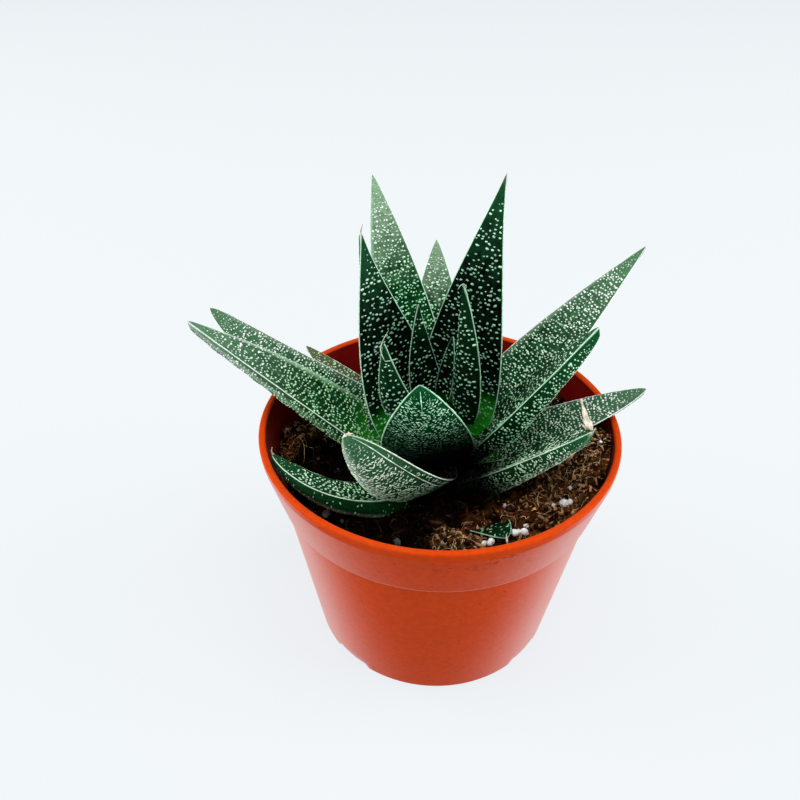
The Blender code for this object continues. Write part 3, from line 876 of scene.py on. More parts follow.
LEAVES = (
    Leaf("leaf_young_spear", (0.0030, 0.0045, 0.1010), (60.0, 0.0010, 0.0815), (0.0, 0.0), 0.0050, 0.0022,
         skin=Skin.YOUNG, upper=Dots.SPARSE, lower=Dots.SPARSE, cord=0.00008),
    Leaf("leaf_young_left", (-0.0068, 0.0046, 0.1108), (148.0, 0.0030, 0.0795), (-0.0005, 0.0010), 0.0100,
         0.0028, -17.0, 6.0, 1.1, skin=Skin.YOUNG, upper=Dots.SPARSE, lower=Dots.SPARSE, cord=0.00009),
    Leaf("leaf_young_right", (0.0050, -0.0023, 0.1205), (-9.0, 0.0069, 0.0775), (0.0010, 0.0009), 0.0120,
         0.0036, 3.0, -4.0, 1.0, skin=Skin.YOUNG, upper=Dots.SPARSE, lower=Dots.SPARSE, cord=0.00009),
    Leaf("leaf_young_front", (-0.0147, -0.0129, 0.1090), (-143.0, 0.0048, 0.0750), (-0.0050, 0.0025),
         0.0114, 0.0034, 34.0, 0.0, 0.95, skin=Skin.YOUNG, upper=Dots.SPARSE, lower=Dots.SPARSE,
         cord=0.00009),
    Leaf("leaf_tall_right", (0.0148, 0.0150, 0.1440), (30.0, 0.0046, 0.0700), (0.0018, 0.0003), 0.0235,
         0.0055, 18.0, -4.0, 1.25, skin=Skin.INNER, upper=Dots.SPARSE, lower=Dots.LOOSE, dry=0.05),
    Leaf("leaf_tall_left", (-0.0202, 0.0193, 0.1410), (138.0, 0.0045, 0.0695), (0.0, 0.0), 0.0200,
         0.0055, -14.0, 0.0, 0.95, skin=Skin.LIT, upper=Dots.CLOSE, lower=Dots.LOOSE,
         bloom_and_sheen=(BloomAndSheen(0.95, 0.25, 0.40, False),)),
    Leaf("leaf_tall_side", (-0.0218, 0.0041, 0.1314), (179.0, 0.0058, 0.0700), (-0.0017, 0.0007), 0.0235,
         0.0052, -37.0, 9.0, 1.25, skin=Skin.INNER, upper=Dots.SPARSE, lower=Dots.LOOSE, dry=0.04),
    Leaf("leaf_front", (-0.0051, -0.0214, 0.1025), (-110.0, 0.0072, 0.0650), (-0.0015, 0.0006), 0.0255,
         0.0058, 12.0, 0.0, 0.86, skin=Skin.FRONT, upper=Dots.LOOSE, lower=Dots.FINE, ridge_from=0.82,
         dry=0.0, cord=0.00026),
    Leaf("leaf_back", (-0.0029, 0.0340, 0.1162), (95.0, 0.0065, 0.0700), (0.0, 0.0), 0.0175, 0.0050,
         skin=Skin.LIT, lower=Dots.LOOSE),
    Leaf("leaf_back_mid_left", (-0.0140, 0.0300, 0.1085), (118.0, 0.0070, 0.0690), (-0.0010, 0.0), 0.0185,
         0.0052, upper=Dots.LOOSE, lower=Dots.LOOSE),
    Leaf("leaf_back_mid_right", (0.0125, 0.0275, 0.1105), (62.0, 0.0070, 0.0685), (-0.0010, 0.0), 0.0185,
         0.0052, upper=Dots.LOOSE, lower=Dots.LOOSE),
    Leaf("leaf_right_upper", (0.0599, 0.0389, 0.1139), (25.0, 0.0080, 0.0655), (0.0005, 0.0003), 0.0203,
         0.0060, 8.0, 0.0, 1.05, lower=Dots.LOOSE, bloom_and_sheen=(BloomAndSheen(0.95, 0.26, 0.34, False),)),
    Leaf("leaf_right_keeled", (0.0409, -0.0013, 0.1091), (-6.0, 0.0080, 0.0660), (0.0012, -0.0015), 0.0215,
         0.0085, -14.0, 0.0, 0.88, -0.35, skin=Skin.SHADED, upper=Dots.SPARSE, lower=Dots.CLOSE,
         ridge_from=0.06, cord=0.00013, bloom_and_sheen=(BloomAndSheen(-0.16, 0.24, 0.24),)),
    Leaf("leaf_left_upper", (-0.0707, 0.0220, 0.0971), (165.0, 0.0075, 0.0680), (-0.0033, 0.0010), 0.0190,
         0.0060, -3.0, 0.0, 0.70, lower=Dots.LOOSE, dry=0.0, bloom_and_sheen=(BloomAndSheen(-0.90, 0.35, 0.30, False),)),
    Leaf("leaf_left_long", (-0.0719, 0.0050, 0.1026), (-169.0, 0.0095, 0.0630), (0.0018, -0.0004), 0.0208,
         0.0085, 7.0, -5.0, 0.97, 0.31, skin=Skin.GOLDEN, upper=Dots.LOOSE, lower=Dots.CLOSE,
         ridge_from=0.08, cord=0.00013, bloom_and_sheen=(BloomAndSheen(0.66, 0.30, 0.40), BloomAndSheen(-0.95, 0.24, 0.52, False))),
    Leaf("leaf_front_left", (-0.0233, -0.0314, 0.0932), (-118.0, 0.0100, 0.0645), (-0.0045, 0.0090),
         0.0230, 0.0052, 33.0, 8.0, 0.62, -0.31, skin=Skin.HAZY, upper=Dots.LOOSE, ridge_from=0.10,
         ridge_across=0.84, dry=0.0, cord=0.00014, lower=Dots.WORMY,
         bloom_and_sheen=(BloomAndSheen(-0.50, 0.70, 0.46),)),
    Leaf("leaf_front_right", (0.0395, -0.0214, 0.0902), (-54.0, 0.0105, 0.0610), (-0.0007, 0.0010),
         0.0235, 0.0080, -17.0, -5.0, 0.50, -0.35, skin=Skin.STOUT, upper=Dots.SPARSE, ridge_from=0.08,
         dry=0.012, cord=0.00013, bloom_and_sheen=(BloomAndSheen(-0.34, 0.26, 0.32),)),
    Leaf("leaf_right_lower", (0.0599, 0.0082, 0.0832), (3.0, 0.0085, 0.0630), (-0.0010, 0.0), 0.0185,
         0.0058, -5.0, 7.0, 0.76, lower=Dots.LOOSE, bloom_and_sheen=(BloomAndSheen(0.95, 0.22, 0.28, False),)),
    Leaf("leaf_back_left", (-0.0434, 0.0276, 0.0811), (149.0, 0.0080, 0.0655), (-0.0010, 0.0), 0.0140,
         0.0045, 4.0, -3.0, 0.84, skin=Skin.OLIVE, dry=0.0),
    Leaf("leaf_back_low_left", (-0.0180, 0.0420, 0.0860), (116.0, 0.0085, 0.0645), (-0.0020, 0.0), 0.0185,
         0.0055, upper=Dots.LOOSE),
    Leaf("leaf_back_low_right", (0.0110, 0.0440, 0.0840), (76.0, 0.0085, 0.0640), (-0.0020, 0.0), 0.0185,
         0.0055, upper=Dots.LOOSE),
    Leaf("leaf_left_low", (-0.0462, -0.0165, 0.0733), (-125.0, 0.0085, 0.0625), (0.0002, 0.0132), 0.0176,
         0.0075, 26.5, -11.0, 0.69, 0.39, skin=Skin.STOUT, upper=Dots.LOOSE, lower=Dots.FAINT,
         cord=0.00014, bloom_and_sheen=(BloomAndSheen(0.32, 0.26, 0.50),)),
    Leaf("leaf_soil_tip", (0.0185, -0.0400, 0.0690), (-67.0, 0.0275, 0.0595), (0.0015, 0.0), 0.0120,
         0.0032, 0.0, 0.0, 0.70, skin=Skin.YOUNG, upper=Dots.FAINT, lower=Dots.FAINT, dry=0.0,
         cord=0.00007),
)


def dome() -> tuple[Form, Array]:
    """A low dome: rings of six points at a sunk foot and at a shoulder, and one point on top.

    Returns:
        The form, and how pale each of its points is.
    """
    turn = np.arange(6) * FULL_TURN / 6
    points = np.concatenate([around(1.0, turn, -0.5), around(0.80, turn, 0.60), [[0.0, 0.0, 1.0]]])
    here, beside = np.arange(6), (np.arange(6) + 1) % 6
    sides = [(here, beside, beside + 6), (here, beside + 6, here + 6),
             (here + 6, beside + 6, here * 0 + 12)]
    foot = [(0, 2, 1), (0, 3, 2), (0, 4, 3), (0, 5, 4)]
    faces = np.concatenate([foot, *[np.stack(side, axis=1) for side in sides]])
    return (points, faces), np.repeat([0.15, 1.0], [6, 7])


# A small blunt spike with a four-cornered foot, its point on the third axis
TOOTH: Form = (
    np.array([(1.0, 0.0, -0.3), (0.0, 1.0, -0.3), (-1.0, 0.0, -0.3), (0.0, -1.0, -0.3), (0.35, 0.0, 1.0)]),
    np.array([(0, 2, 1), (0, 3, 2), (0, 1, 4), (1, 2, 4), (2, 3, 4), (3, 0, 4)]),
)


@dataclass
class LeafPiece:
    """A leaf as it is seen: a fine blade with raised marks, a pale toothed margin and a dry point.

    In its methods, share is the share of the way to the point. Across is the place from -1 at one
    margin to 1 at the other, and below says whether it is on the keeled face.
    """

    leaf: Leaf
    seed: int
    rings: int = 84
    segments: int = 44
    last_ring: float = 0.996
    crowding: float = 1.15  # how much closer the rings stand towards the point
    beside_keel: tuple[float, float] = (0.03, 0.09)  # radians
    margin_half: float = 0.00035
    margin_band: float = 0.00016
    margin_pale: float = 0.60
    channel_depth: float = 0.0010
    shoulder: float = 0.35
    shoulder_start: float = 0.05
    keel_taper: float = 0.45
    keel_at_seat: float = 0.5
    keel_full_from: float = 0.3
    keel_round: float = 0.9
    tip_closing: float = 40.0
    keel_ridge: float = 1.6
    twist_pivot: float = 0.4
    lump: float = 0.00022
    lump_pitch: float = 0.0035
    blade_tone: float = 0.70
    run_steps: int = 49
    dot_columns: int = 16
    dot_wave: tuple[float, float] = (0.45, 0.5)  # how far rows bend, in gaps, and how fast
    dot_size: Spread = (0.72, 0.50, 2.0)
    dot_stretch: tuple[float, float] = (0.78, 1.28)
    dot_tone: tuple[float, float] = (0.15, 1.0)
    dots_from: float = 0.03
    dots_to: float = 0.970
    margin_clear: float = 0.0005
    ridge_clear: float = 0.00045
    tooth_gap: float = 0.00070
    tooth_length: float = 0.00036
    tooth_foot: float = 0.00023
    tooth_sunk: float = 0.00005
    tooth_lean: float = 0.45
    tooth_end: float = 0.93
    tooth_shift: float = 0.25  # of the gap
    tooth_swing: tuple[float, float] = (0.6, 1.2)
    tooth_thin: float = 0.8
    tooth_pale: float = 0.95
    tooth_tone: tuple[float, float] = (0.5, 1.0)
    tooth_seed: int = 900
    cord_step: float = 0.0008
    cord_from: float = 0.04
    cord_to: float = 0.975
    cord_sides: int = 5
    cord_swing: tuple[float, float] = (0.60, 1.25)
    cord_pale: float = 0.92
    cord_share: float = 0.85
    cord_tone: float = 0.72
    cord_seed: int = 700

    def midline(self, share: Array) -> tuple[Array, Array, Array]:
        """The midline: a straight line from seat to tip, bent by 4 * share * (1 - share) times the bow.

        Args:
            share: Share of the way to the point.

        Returns:
            The points, and the side and face directions there, turned by roll and twist.
        """
        leaf = self.leaf
        heading, distance, height = leaf.seat
        turn = math.radians(heading)
        start = np.array([distance * math.cos(turn), distance * math.sin(turn), height])
        chord = np.array(leaf.tip) - start
        ahead = unit(chord)
        left = unit(np.cross(UP, ahead))
        bend = leaf.bow[0] * np.cross(ahead, left) + leaf.bow[1] * left
        middle = start + share[:, None] * chord + (4.0 * share * (1.0 - share))[:, None] * bend
        along = unit(chord + (4.0 - 8.0 * share)[:, None] * bend)
        side = unit(left - (along @ left)[:, None] * along)
        face = np.cross(along, side)
        angle = np.radians(leaf.roll + leaf.twist * (share - self.twist_pivot))[:, None]
        return (middle, side * np.cos(angle) + face * np.sin(angle),
                face * np.cos(angle) - side * np.sin(angle))

    def length(self) -> float:
        """Length of the straight line from seat to point."""
        ends = self.midline(np.array([0.0, 1.0]))[0]
        return float(np.linalg.norm(ends[1] - ends[0]))

    def closing(self, share: Array) -> Array:
        """1 along the leaf, and the square root of the way left, times a number, at the very point."""
        return np.clip((1.0 - share) * self.tip_closing, 0.0, 1.0) ** 0.5

    def half_width(self, share: Array) -> Array:
        """Half the width: (1 - share) ** point * (share + start) ** shoulder, scaled to its peak.

        Args:
            share: Share of the way to the point.

        Returns:
            Half the width there.
        """
        point, rise, start = self.leaf.point, self.shoulder, self.shoulder_start
        widest = (rise - point * start) / (point + rise)
        peak, swell = [(1.0 - at) ** point * (at + start) ** rise for at in (widest, share)]
        return 0.5 * self.leaf.width * swell / peak + 0.5 * self.margin_half * self.closing(share)

    def bloom_and_sheen(self, share: Array, across: Array, under: Array) -> Array:
        """How pale the bloom and painted sheen are: strength * exp(-((across - place) / width)^2), less at
        the base.

        Args:
            share: Share of the way to the point.
            across: Place across.
            under: Whether each is on the keeled face.

        Returns:
            How pale each point is.
        """
        pale = np.zeros(len(share))
        for band in self.leaf.bloom_and_sheen:
            spread = band.strength * np.exp(-((across - band.place) / band.width) ** 2)
            pale = np.maximum(pale, spread * (under == band.below))
        return pale * np.clip(0.20 + 1.8 * share, 0.0, 1.0)

    def section(self, share: Array, across: Array, below: Array | bool) -> tuple[Array, Array]:
        """A cross-section: a shallow channel above and a rounded keel below.

        The upper face is the rim less channel * (1 - across^2). The lower one is
        -depth * (1 - |across| ** ridge) ** round, and it slides sideways by offset * (1 - across^2).

        Args:
            share: Share of the way to the point.
            across: Place across.
            below: Whether it is on the keeled face.

        Returns:
            Sideways places, and heights above the midline.
        """
        leaf, width, closing = self.leaf, self.half_width(share), self.closing(share)
        grown = np.clip(share / self.keel_full_from, 0.0, 1.0)
        neck = self.keel_at_seat + (1.0 - self.keel_at_seat) * grown
        taper = np.clip(1.0 - share, 0.0, 1.0) ** self.keel_taper
        depth = (leaf.keel * taper * neck + self.margin_half) * closing
        inward = np.clip(1.0 - across ** 2, 0.0, 1.0)
        rim = self.margin_half * closing * inward ** 0.25
        hollow = self.channel_depth * 2.0 * width / leaf.width * inward
        belly = depth * np.clip(1.0 - np.abs(across) ** self.keel_ridge, 0.0, 1.0) ** self.keel_round
        return width * (across + leaf.offset * inward * below), np.where(below, -belly, rim - hollow)

    def skin_points(self, share: Array, angle: Array) -> Array:
        """Points of the skin: the cross-section carried along the midline, with faint lumps.

        Args:
            share: Share of the way to the point.
            angle: Angle round the section, in radians; the upper face is from 0 to pi.

        Returns:
            One point for each pair of values.
        """
        middle, side, face = self.midline(share)
        sideways, height = self.section(share, np.cos(angle), np.sin(angle) <= 0.0)
        calm = np.sqrt(np.abs(np.sin(angle))) * np.clip(8.0 * (1.0 - share), 0.0, 1.0)
        noise = smooth_noise(share * self.length() + 1.0, sideways + 1.0, self.lump_pitch, self.seed)
        return middle + sideways[:, None] * side + (height + self.lump * calm * noise)[:, None] * face

    def skin_run(self, share: Array, below: Array | bool) -> Array:
        """Distances over one face's skin from its middle line, at even steps from margin to margin.

        Args:
            share: Share of the way to the point.
            below: Whether it is the keeled face, for all or for each.

        Returns:
            One row of distances for each share.
        """
        steps = np.linspace(-1.0, 1.0, self.run_steps)[None]
        which = np.broadcast_to(np.asarray(below), share.shape)[:, None]
        sideways, height = self.section(share[:, None], steps, which)
        pieces = np.hypot(np.diff(sideways, axis=1), np.diff(height, axis=1))
        run = np.concatenate([np.zeros((len(share), 1)), np.cumsum(pieces, axis=1)], axis=1)
        return run - run[:, self.run_steps // 2, None]

    def skin_distance(self, share: Array, across: Array, below: Array) -> Array:
        """Distance over the skin from the middle line, for a place across.

        Args:
            share: Share of the way to the point.
            across: Place across.
            below: Whether it is on the keeled face.

        Returns:
            The distances.
        """
        run, here = self.skin_run(share, below), np.arange(len(share))
        where = (np.clip(across, -1.0, 1.0) + 1.0) * 0.5 * (self.run_steps - 1)
        low = np.minimum(where.astype(int), self.run_steps - 2)
        return run[here, low] + (where - low) * (run[here, low + 1] - run[here, low])

    def place_across(self, share: Array, distance: Array, below: bool) -> Array:
        """Place across for a distance over the skin; beyond the margins it is past -1 or 1.

        Args:
            share: Share of the way to the point.
            distance: Distance from the middle line.
            below: Whether it is on the keeled face.

        Returns:
            The places.
        """
        run, here = self.skin_run(share, below), np.arange(len(share))
        low = np.clip((run < distance[:, None]).sum(axis=1) - 1, 0, self.run_steps - 2)
        part = (distance - run[here, low]) / np.maximum(run[here, low + 1] - run[here, low], 1e-9)
        return (low + part) * 2.0 / (self.run_steps - 1) - 1.0

    def frames(self, share: Array, angle: Array, step: float = 1e-3) -> tuple[Array, Array]:
        """Points of the skin with their directions across, along and outwards, by small steps.

        Args:
            share: Share of the way to the point.
            angle: Angle round the section.
            step: The step in both.

        Returns:
            The points, and n x 3 x 3 directions.
        """
        along = unit(self.skin_points(share + step, angle) - self.skin_points(share - step, angle))
        round_it = self.skin_points(share, angle + step) - self.skin_points(share, angle - step)
        out = unit(np.cross(round_it, along))
        return self.skin_points(share, angle), np.stack([np.cross(along, out), along, out], axis=1)

    def place(self, share: Array, distance: Amount, below: Array | bool) -> Array:
        """What the skin reads: millimetres across and along, and how dry it is.

        Each face of each leaf has its own stretch of the numbers across, so no two are patterned alike.

        Args:
            share: Share of the way to the point.
            distance: Distance over the skin from the middle line.
            below: Whether it is on the keeled face.

        Returns:
            Three values for each point.
        """
        dry = self.leaf.dry
        across = distance * 1000.0 + self.seed * 60.0 + np.where(below, 25.0, 0.0)
        withered = smooth_step(share, 1.0 - dry, 1.0 - 0.35 * dry) if dry else 0.0 * share
        return np.stack([across, share * self.length() * 1000.0, withered], axis=1)

    def turns(self) -> Array:
        """Angles round the section, in radians, closer together beside the keel."""
        keel, half, (near, far) = 1.5 * math.pi, self.segments // 4, self.beside_keel
        return np.concatenate([np.linspace(0.0, math.pi, 2 * half, endpoint=False),
                               np.linspace(math.pi, keel - far, half), [keel - near, keel, keel + near],
                               np.linspace(keel + far, FULL_TURN, half, endpoint=False)])

    def blade(self) -> Shape:
        """The blade: rings set closer towards the point, with its margins marked pale and its bands of bloom
        and painted sheen.

        Returns:
            The surface.
        """
        share = 1.0 - (1.0 - np.linspace(0.0, self.last_ring, self.rings)) ** self.crowding
        turn = self.turns()
        shares, turns = [axis.ravel() for axis in np.meshgrid(share, turn, indexing="ij")]
        across, under = np.cos(turns), np.sin(turns) < -1e-6
        rings = self.skin_points(shares, turns).reshape(self.rings, len(turn), 3)
        poles = self.midline(np.array([0.0, 0.999]))[0]
        edge = self.half_width(shares) * (1.0 - np.abs(across))
        margin = np.clip(1.3 - edge / self.margin_band, 0.0, 1.0)
        pale = np.maximum(margin * self.margin_pale * np.clip(shares * 12.0, 0.0, 1.0),
                          self.bloom_and_sheen(shares, across, under))
        place = np.concatenate([self.place(shares, self.skin_distance(shares, across, under), under),
                                self.place(np.array([0.0, 1.0]), np.zeros(2), False)])
        return closed_rings(rings, poles, place).marked(
            np.append(pale, (0.0, 0.0)), np.append(shares, (0.0, 1.0)), np.append(under, (0.0, 0.0)),
            np.append(np.full(len(shares), self.blade_tone), (0.5, 0.5)))

    def dots(self, style: DotStyle, below: bool) -> Shape:
        """Raised marks in loose rows across one face.

        Rows stand a row gap apart along the leaf, and marks a dot gap apart in each row, measured over
        the skin, every other row shifted by half a gap. Each mark is moved a little at random, and some
        are left out.

        Args:
            style: Their gaps and sizes.
            below: Whether they lie on the keeled face.

        Returns:
            The marks as one surface.
        """
        leaf, length, rng = self.leaf, self.length(), np.random.default_rng(self.seed * 2 + below)
        rows, columns = [axis.ravel().astype(float) for axis in np.meshgrid(
            np.arange(1, int(length / style.row_gap)),
            np.arange(-self.dot_columns, self.dot_columns + 1), indexing="ij")]
        shift = 0.5 * (rows % 2)
        swing, pace = self.dot_wave
        rows += (rng.uniform(-style.scatter, style.scatter, len(rows))
                 + swing * np.sin(columns * pace + rows))
        columns += shift + rng.uniform(-style.scatter, style.scatter, len(rows))
        share, distance = rows * style.row_gap / length, columns * style.dot_gap
        keep = ((rng.random(len(rows)) > style.missing) & (share > self.dots_from)
                & (share < self.dots_to - leaf.dry))
        share, distance = share[keep], distance[keep]
        across, width = self.place_across(share, distance, below), self.half_width(share)
        keep = np.abs(across) < 1.0 - self.margin_clear / width
        if below and leaf.ridge_from < 1.0:
            keep &= ((np.abs(across - leaf.ridge_across) * width > self.ridge_clear)
                     | (share < leaf.ridge_from))
        share, distance, across = share[keep], distance[keep], across[keep]
        count = len(share)
        centres, axes = self.frames(share, np.arccos(across) * (-1.0 if below else 1.0))
        form, pale = dome()
        size = by_chance(rng, count, self.dot_size) * np.clip((1.0 - share) * 6.0, 0.50, 1.0)
        stretch = rng.uniform(*self.dot_stretch, count)
        tilt = rng.normal(0.0, style.tilt, count)[:, None]
        axes = np.stack([axes[:, 0] * np.cos(tilt) + axes[:, 1] * np.sin(tilt),
                         axes[:, 1] * np.cos(tilt) - axes[:, 0] * np.sin(tilt), axes[:, 2]], axis=1)
        sizes = np.stack([size * stretch * style.length, size * style.breadth, size * style.height],
                         axis=1)
        marks = copies(form, centres, axes, sizes, rng.normal(0.0, style.bend, count),
                       self.place(share, distance, below))
        return marks.marked(np.tile(pale, count), share, float(below), rng.uniform(*self.dot_tone, count))

    def teeth(self) -> Shape:
        """Fine teeth along both margins, each one leaning a little towards the point.

        Returns:
            The teeth as one surface.
        """
        rng, length = np.random.default_rng(self.seed + self.tooth_seed), self.length()
        step = np.arange(3, int(self.tooth_end * length / self.tooth_gap))
        share = np.concatenate([step, step + 0.5]) * self.tooth_gap / length
        shift = rng.uniform(-self.tooth_shift, self.tooth_shift, len(share))
        share = share + shift * self.tooth_gap / length
        sign = np.cos(np.repeat([0.0, math.pi], len(step)))
        middle, side, face = self.midline(share)
        out = side * sign[:, None]
        lean = unit(out + self.tooth_lean * unit(self.midline(share + 1e-3)[0] - middle))
        centres = middle + out * (self.half_width(share) - self.tooth_sunk)[:, None]
        axes = np.stack([np.cross(face, side), face, lean], axis=1)
        axes[np.linalg.det(axes) < 0.0, 0] *= -1.0
        size = rng.uniform(*self.tooth_swing, len(share)) * np.clip((1.0 - share) * 8.0, 0.4, 1.0)
        foot = size * self.tooth_foot
        sizes = np.stack([foot, foot * self.tooth_thin, size * self.tooth_length], axis=1)
        place = self.place(share, sign * self.half_width(share), False)
        return copies(TOOTH, centres, axes, sizes, place=place).marked(
            self.tooth_pale, share, 0.0, rng.uniform(*self.tooth_tone, len(share)))

    def cords(self) -> Shape:
        """Thin pale cords: one along each margin, and one that follows the keel where it has a line.

        A cord's radius swings at random about its own, and tapers to both ends.

        Returns:
            The cords as one surface.
        """
        rng = np.random.default_rng(self.seed + self.cord_seed)
        steps = max(12, int(self.length() / self.cord_step))
        turns = [(0.0, self.cord_from), (math.pi, self.cord_from)]
        if self.leaf.ridge_from < 1.0:
            turns.append((-math.acos(self.leaf.ridge_across), self.leaf.ridge_from))
        shapes = []
        for turn, start in turns:
            share = np.linspace(start, self.cord_to, steps)
            path = self.skin_points(share, np.full(steps, turn))
            taper = np.clip(np.minimum(share - start + 0.01, 1.0 - share) * 9.0, 0.25, 1.0)
            radius = self.leaf.cord * taper * rng.uniform(*self.cord_swing, steps)
            place = self.place(share, np.zeros(steps), turn < 0.0)
            place = np.concatenate([np.repeat(place, self.cord_sides, axis=0), place[:1], place[-1:]])
            cord = sweep(path[None], radius[None], self.cord_sides, place=place)
            shapes.append(cord.marked(self.cord_pale, self.cord_share, float(turn < 0.0), self.cord_tone))
        return joined(shapes)

    def build(self) -> Shape:
        """The whole leaf as one surface."""
        return joined([self.blade(), self.dots(self.leaf.upper.value, False),
                       self.dots(self.leaf.lower.value, True), self.teeth(), self.cords()])

    def dress(self, skins: dict[Skin, bpy.types.Material]) -> None:
        """Make the piece, in its own kind of skin, in the place of the leaf's solid."""
        node = self.leaf.node
        make_piece(node + "_skin", self.build(), skins[self.leaf.skin], (node,))


@dataclass(frozen=True)
class Curl:
    """A withered, curled leaf end."""

    path: tuple[Point, ...]
    half_width: float
    flatness: float = 1.0
    widest: float = 0.5  # share of its length at which it is widest
    tone: float = 0.9  # from brown to cream
    green: float = 0.0


@dataclass
class Rosette:
    """All the leaves, the crown they grow from, and their withered ends."""

    leaves: tuple[Leaf, ...] = LEAVES
    dry: GrainFinish = GrainFinish("withered", (0.16, 0.06, 0.03), (0.76, 0.68, 0.54), 900.0, 0.7)
    curl_steps: int = 20
    curls: tuple[Curl, ...] = (
        Curl(((0.0361, -0.0167, 0.0968), (0.0364, -0.0172, 0.0959), (0.0371, -0.0184, 0.0942),
              (0.0377, -0.0195, 0.0925), (0.0387, -0.0205, 0.0911), (0.0394, -0.0211, 0.0902)),
             0.00130, 0.20, 0.76),
        Curl(((0.0364, -0.0206, 0.0917), (0.0372, -0.0208, 0.0911), (0.0384, -0.0212, 0.0904)),
             0.00055, 0.4, 0.6),
        Curl(((-0.0463, -0.0154, 0.0748), (-0.0465, -0.0160, 0.0738), (-0.0461, -0.0164, 0.0730),
              (-0.0452, -0.0163, 0.0727)), 0.00030, 0.8, 0.7),
        Curl(((-0.0219, 0.0040, 0.1311), (-0.0217, 0.0046, 0.1321), (-0.0214, 0.0054, 0.1331)), 0.00016,
             widest=0.2, tone=0.35),
        Curl(((0.0056, -0.0024, 0.1198), (0.0054, -0.0022, 0.1205), (0.0048, -0.0021, 0.1208),
              (0.0040, -0.0024, 0.1205), (0.0034, -0.0030, 0.1196)), 0.00018, widest=0.3, green=0.7),
        Curl(((-0.0136, -0.0108, 0.1117), (-0.0146, -0.0118, 0.1103), (-0.0153, -0.0129, 0.1090),
              (-0.0156, -0.0140, 0.1076), (-0.0150, -0.0150, 0.1064), (-0.0143, -0.0156, 0.1052)), 0.00017,
             widest=0.6, green=0.6),
        Curl(((-0.0143, -0.0156, 0.1053), (-0.0134, -0.0156, 0.1054), (-0.0120, -0.0153, 0.1057),
              (-0.0110, -0.0150, 0.1058)), 0.00016, green=0.8),
        Curl(((-0.0238, -0.0318, 0.0926), (-0.0232, -0.0315, 0.0933), (-0.0222, -0.0309, 0.0935),
              (-0.0212, -0.0303, 0.0932)), 0.00055, 0.5, 0.55),
        Curl(((0.0183, -0.0396, 0.0700), (0.0185, -0.0403, 0.0688), (0.0188, -0.0412, 0.0674)),
             0.00030, 0.7),
    )

    def build(self) -> list[LeafPiece]:
        """A fine piece for every leaf."""
        return [LeafPiece(leaf, seed) for seed, leaf in enumerate(self.leaves, 1)]

    def withered_ends(self) -> Shape:
        """Thin curled ends: a profile that tapers at both ends, carried along a smooth path.

        The half width is half * (0.25 + 0.75 * sin(pi * share ** power)), where the power puts the
        widest place where it belongs, and a small wave makes it uneven.

        Returns:
            The ends as one surface.
        """
        shapes, share = [], np.linspace(0.0, 1.0, self.curl_steps)
        for number, curl in enumerate(self.curls):
            knots = np.arange(len(curl.path))
            where = np.linspace(0.0, len(knots) - 1.0, self.curl_steps)
            fine = np.stack([np.interp(where, knots, part) for part in zip(*curl.path)], axis=1)
            fine[1:-1] = 0.25 * fine[:-2] + 0.5 * fine[1:-1] + 0.25 * fine[2:]
            power = math.log(0.5) / math.log(curl.widest)
            swell = 0.25 + 0.75 * np.sin(math.pi * share ** power) + 0.10 * np.sin(share * 19.0 + number)
            end = sweep(fine[None], (curl.half_width * swell)[None], 7, curl.flatness)
            shapes.append(end.marked(curl.tone, curl.green, 0.0, 1.0))
        return joined(shapes)

    def dress(self) -> None:
        """Make every piece and give the crown its finish."""
        skins = {skin: skin.value.make() for skin in Skin}
        for piece in self.build():
            piece.dress(skins)
        make_piece("withered_ends", self.withered_ends(), self.dry.make())
        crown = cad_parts["crown"]
        crown.data.materials.clear()
        crown.data.materials.append(CrownFinish().make())


# Pot


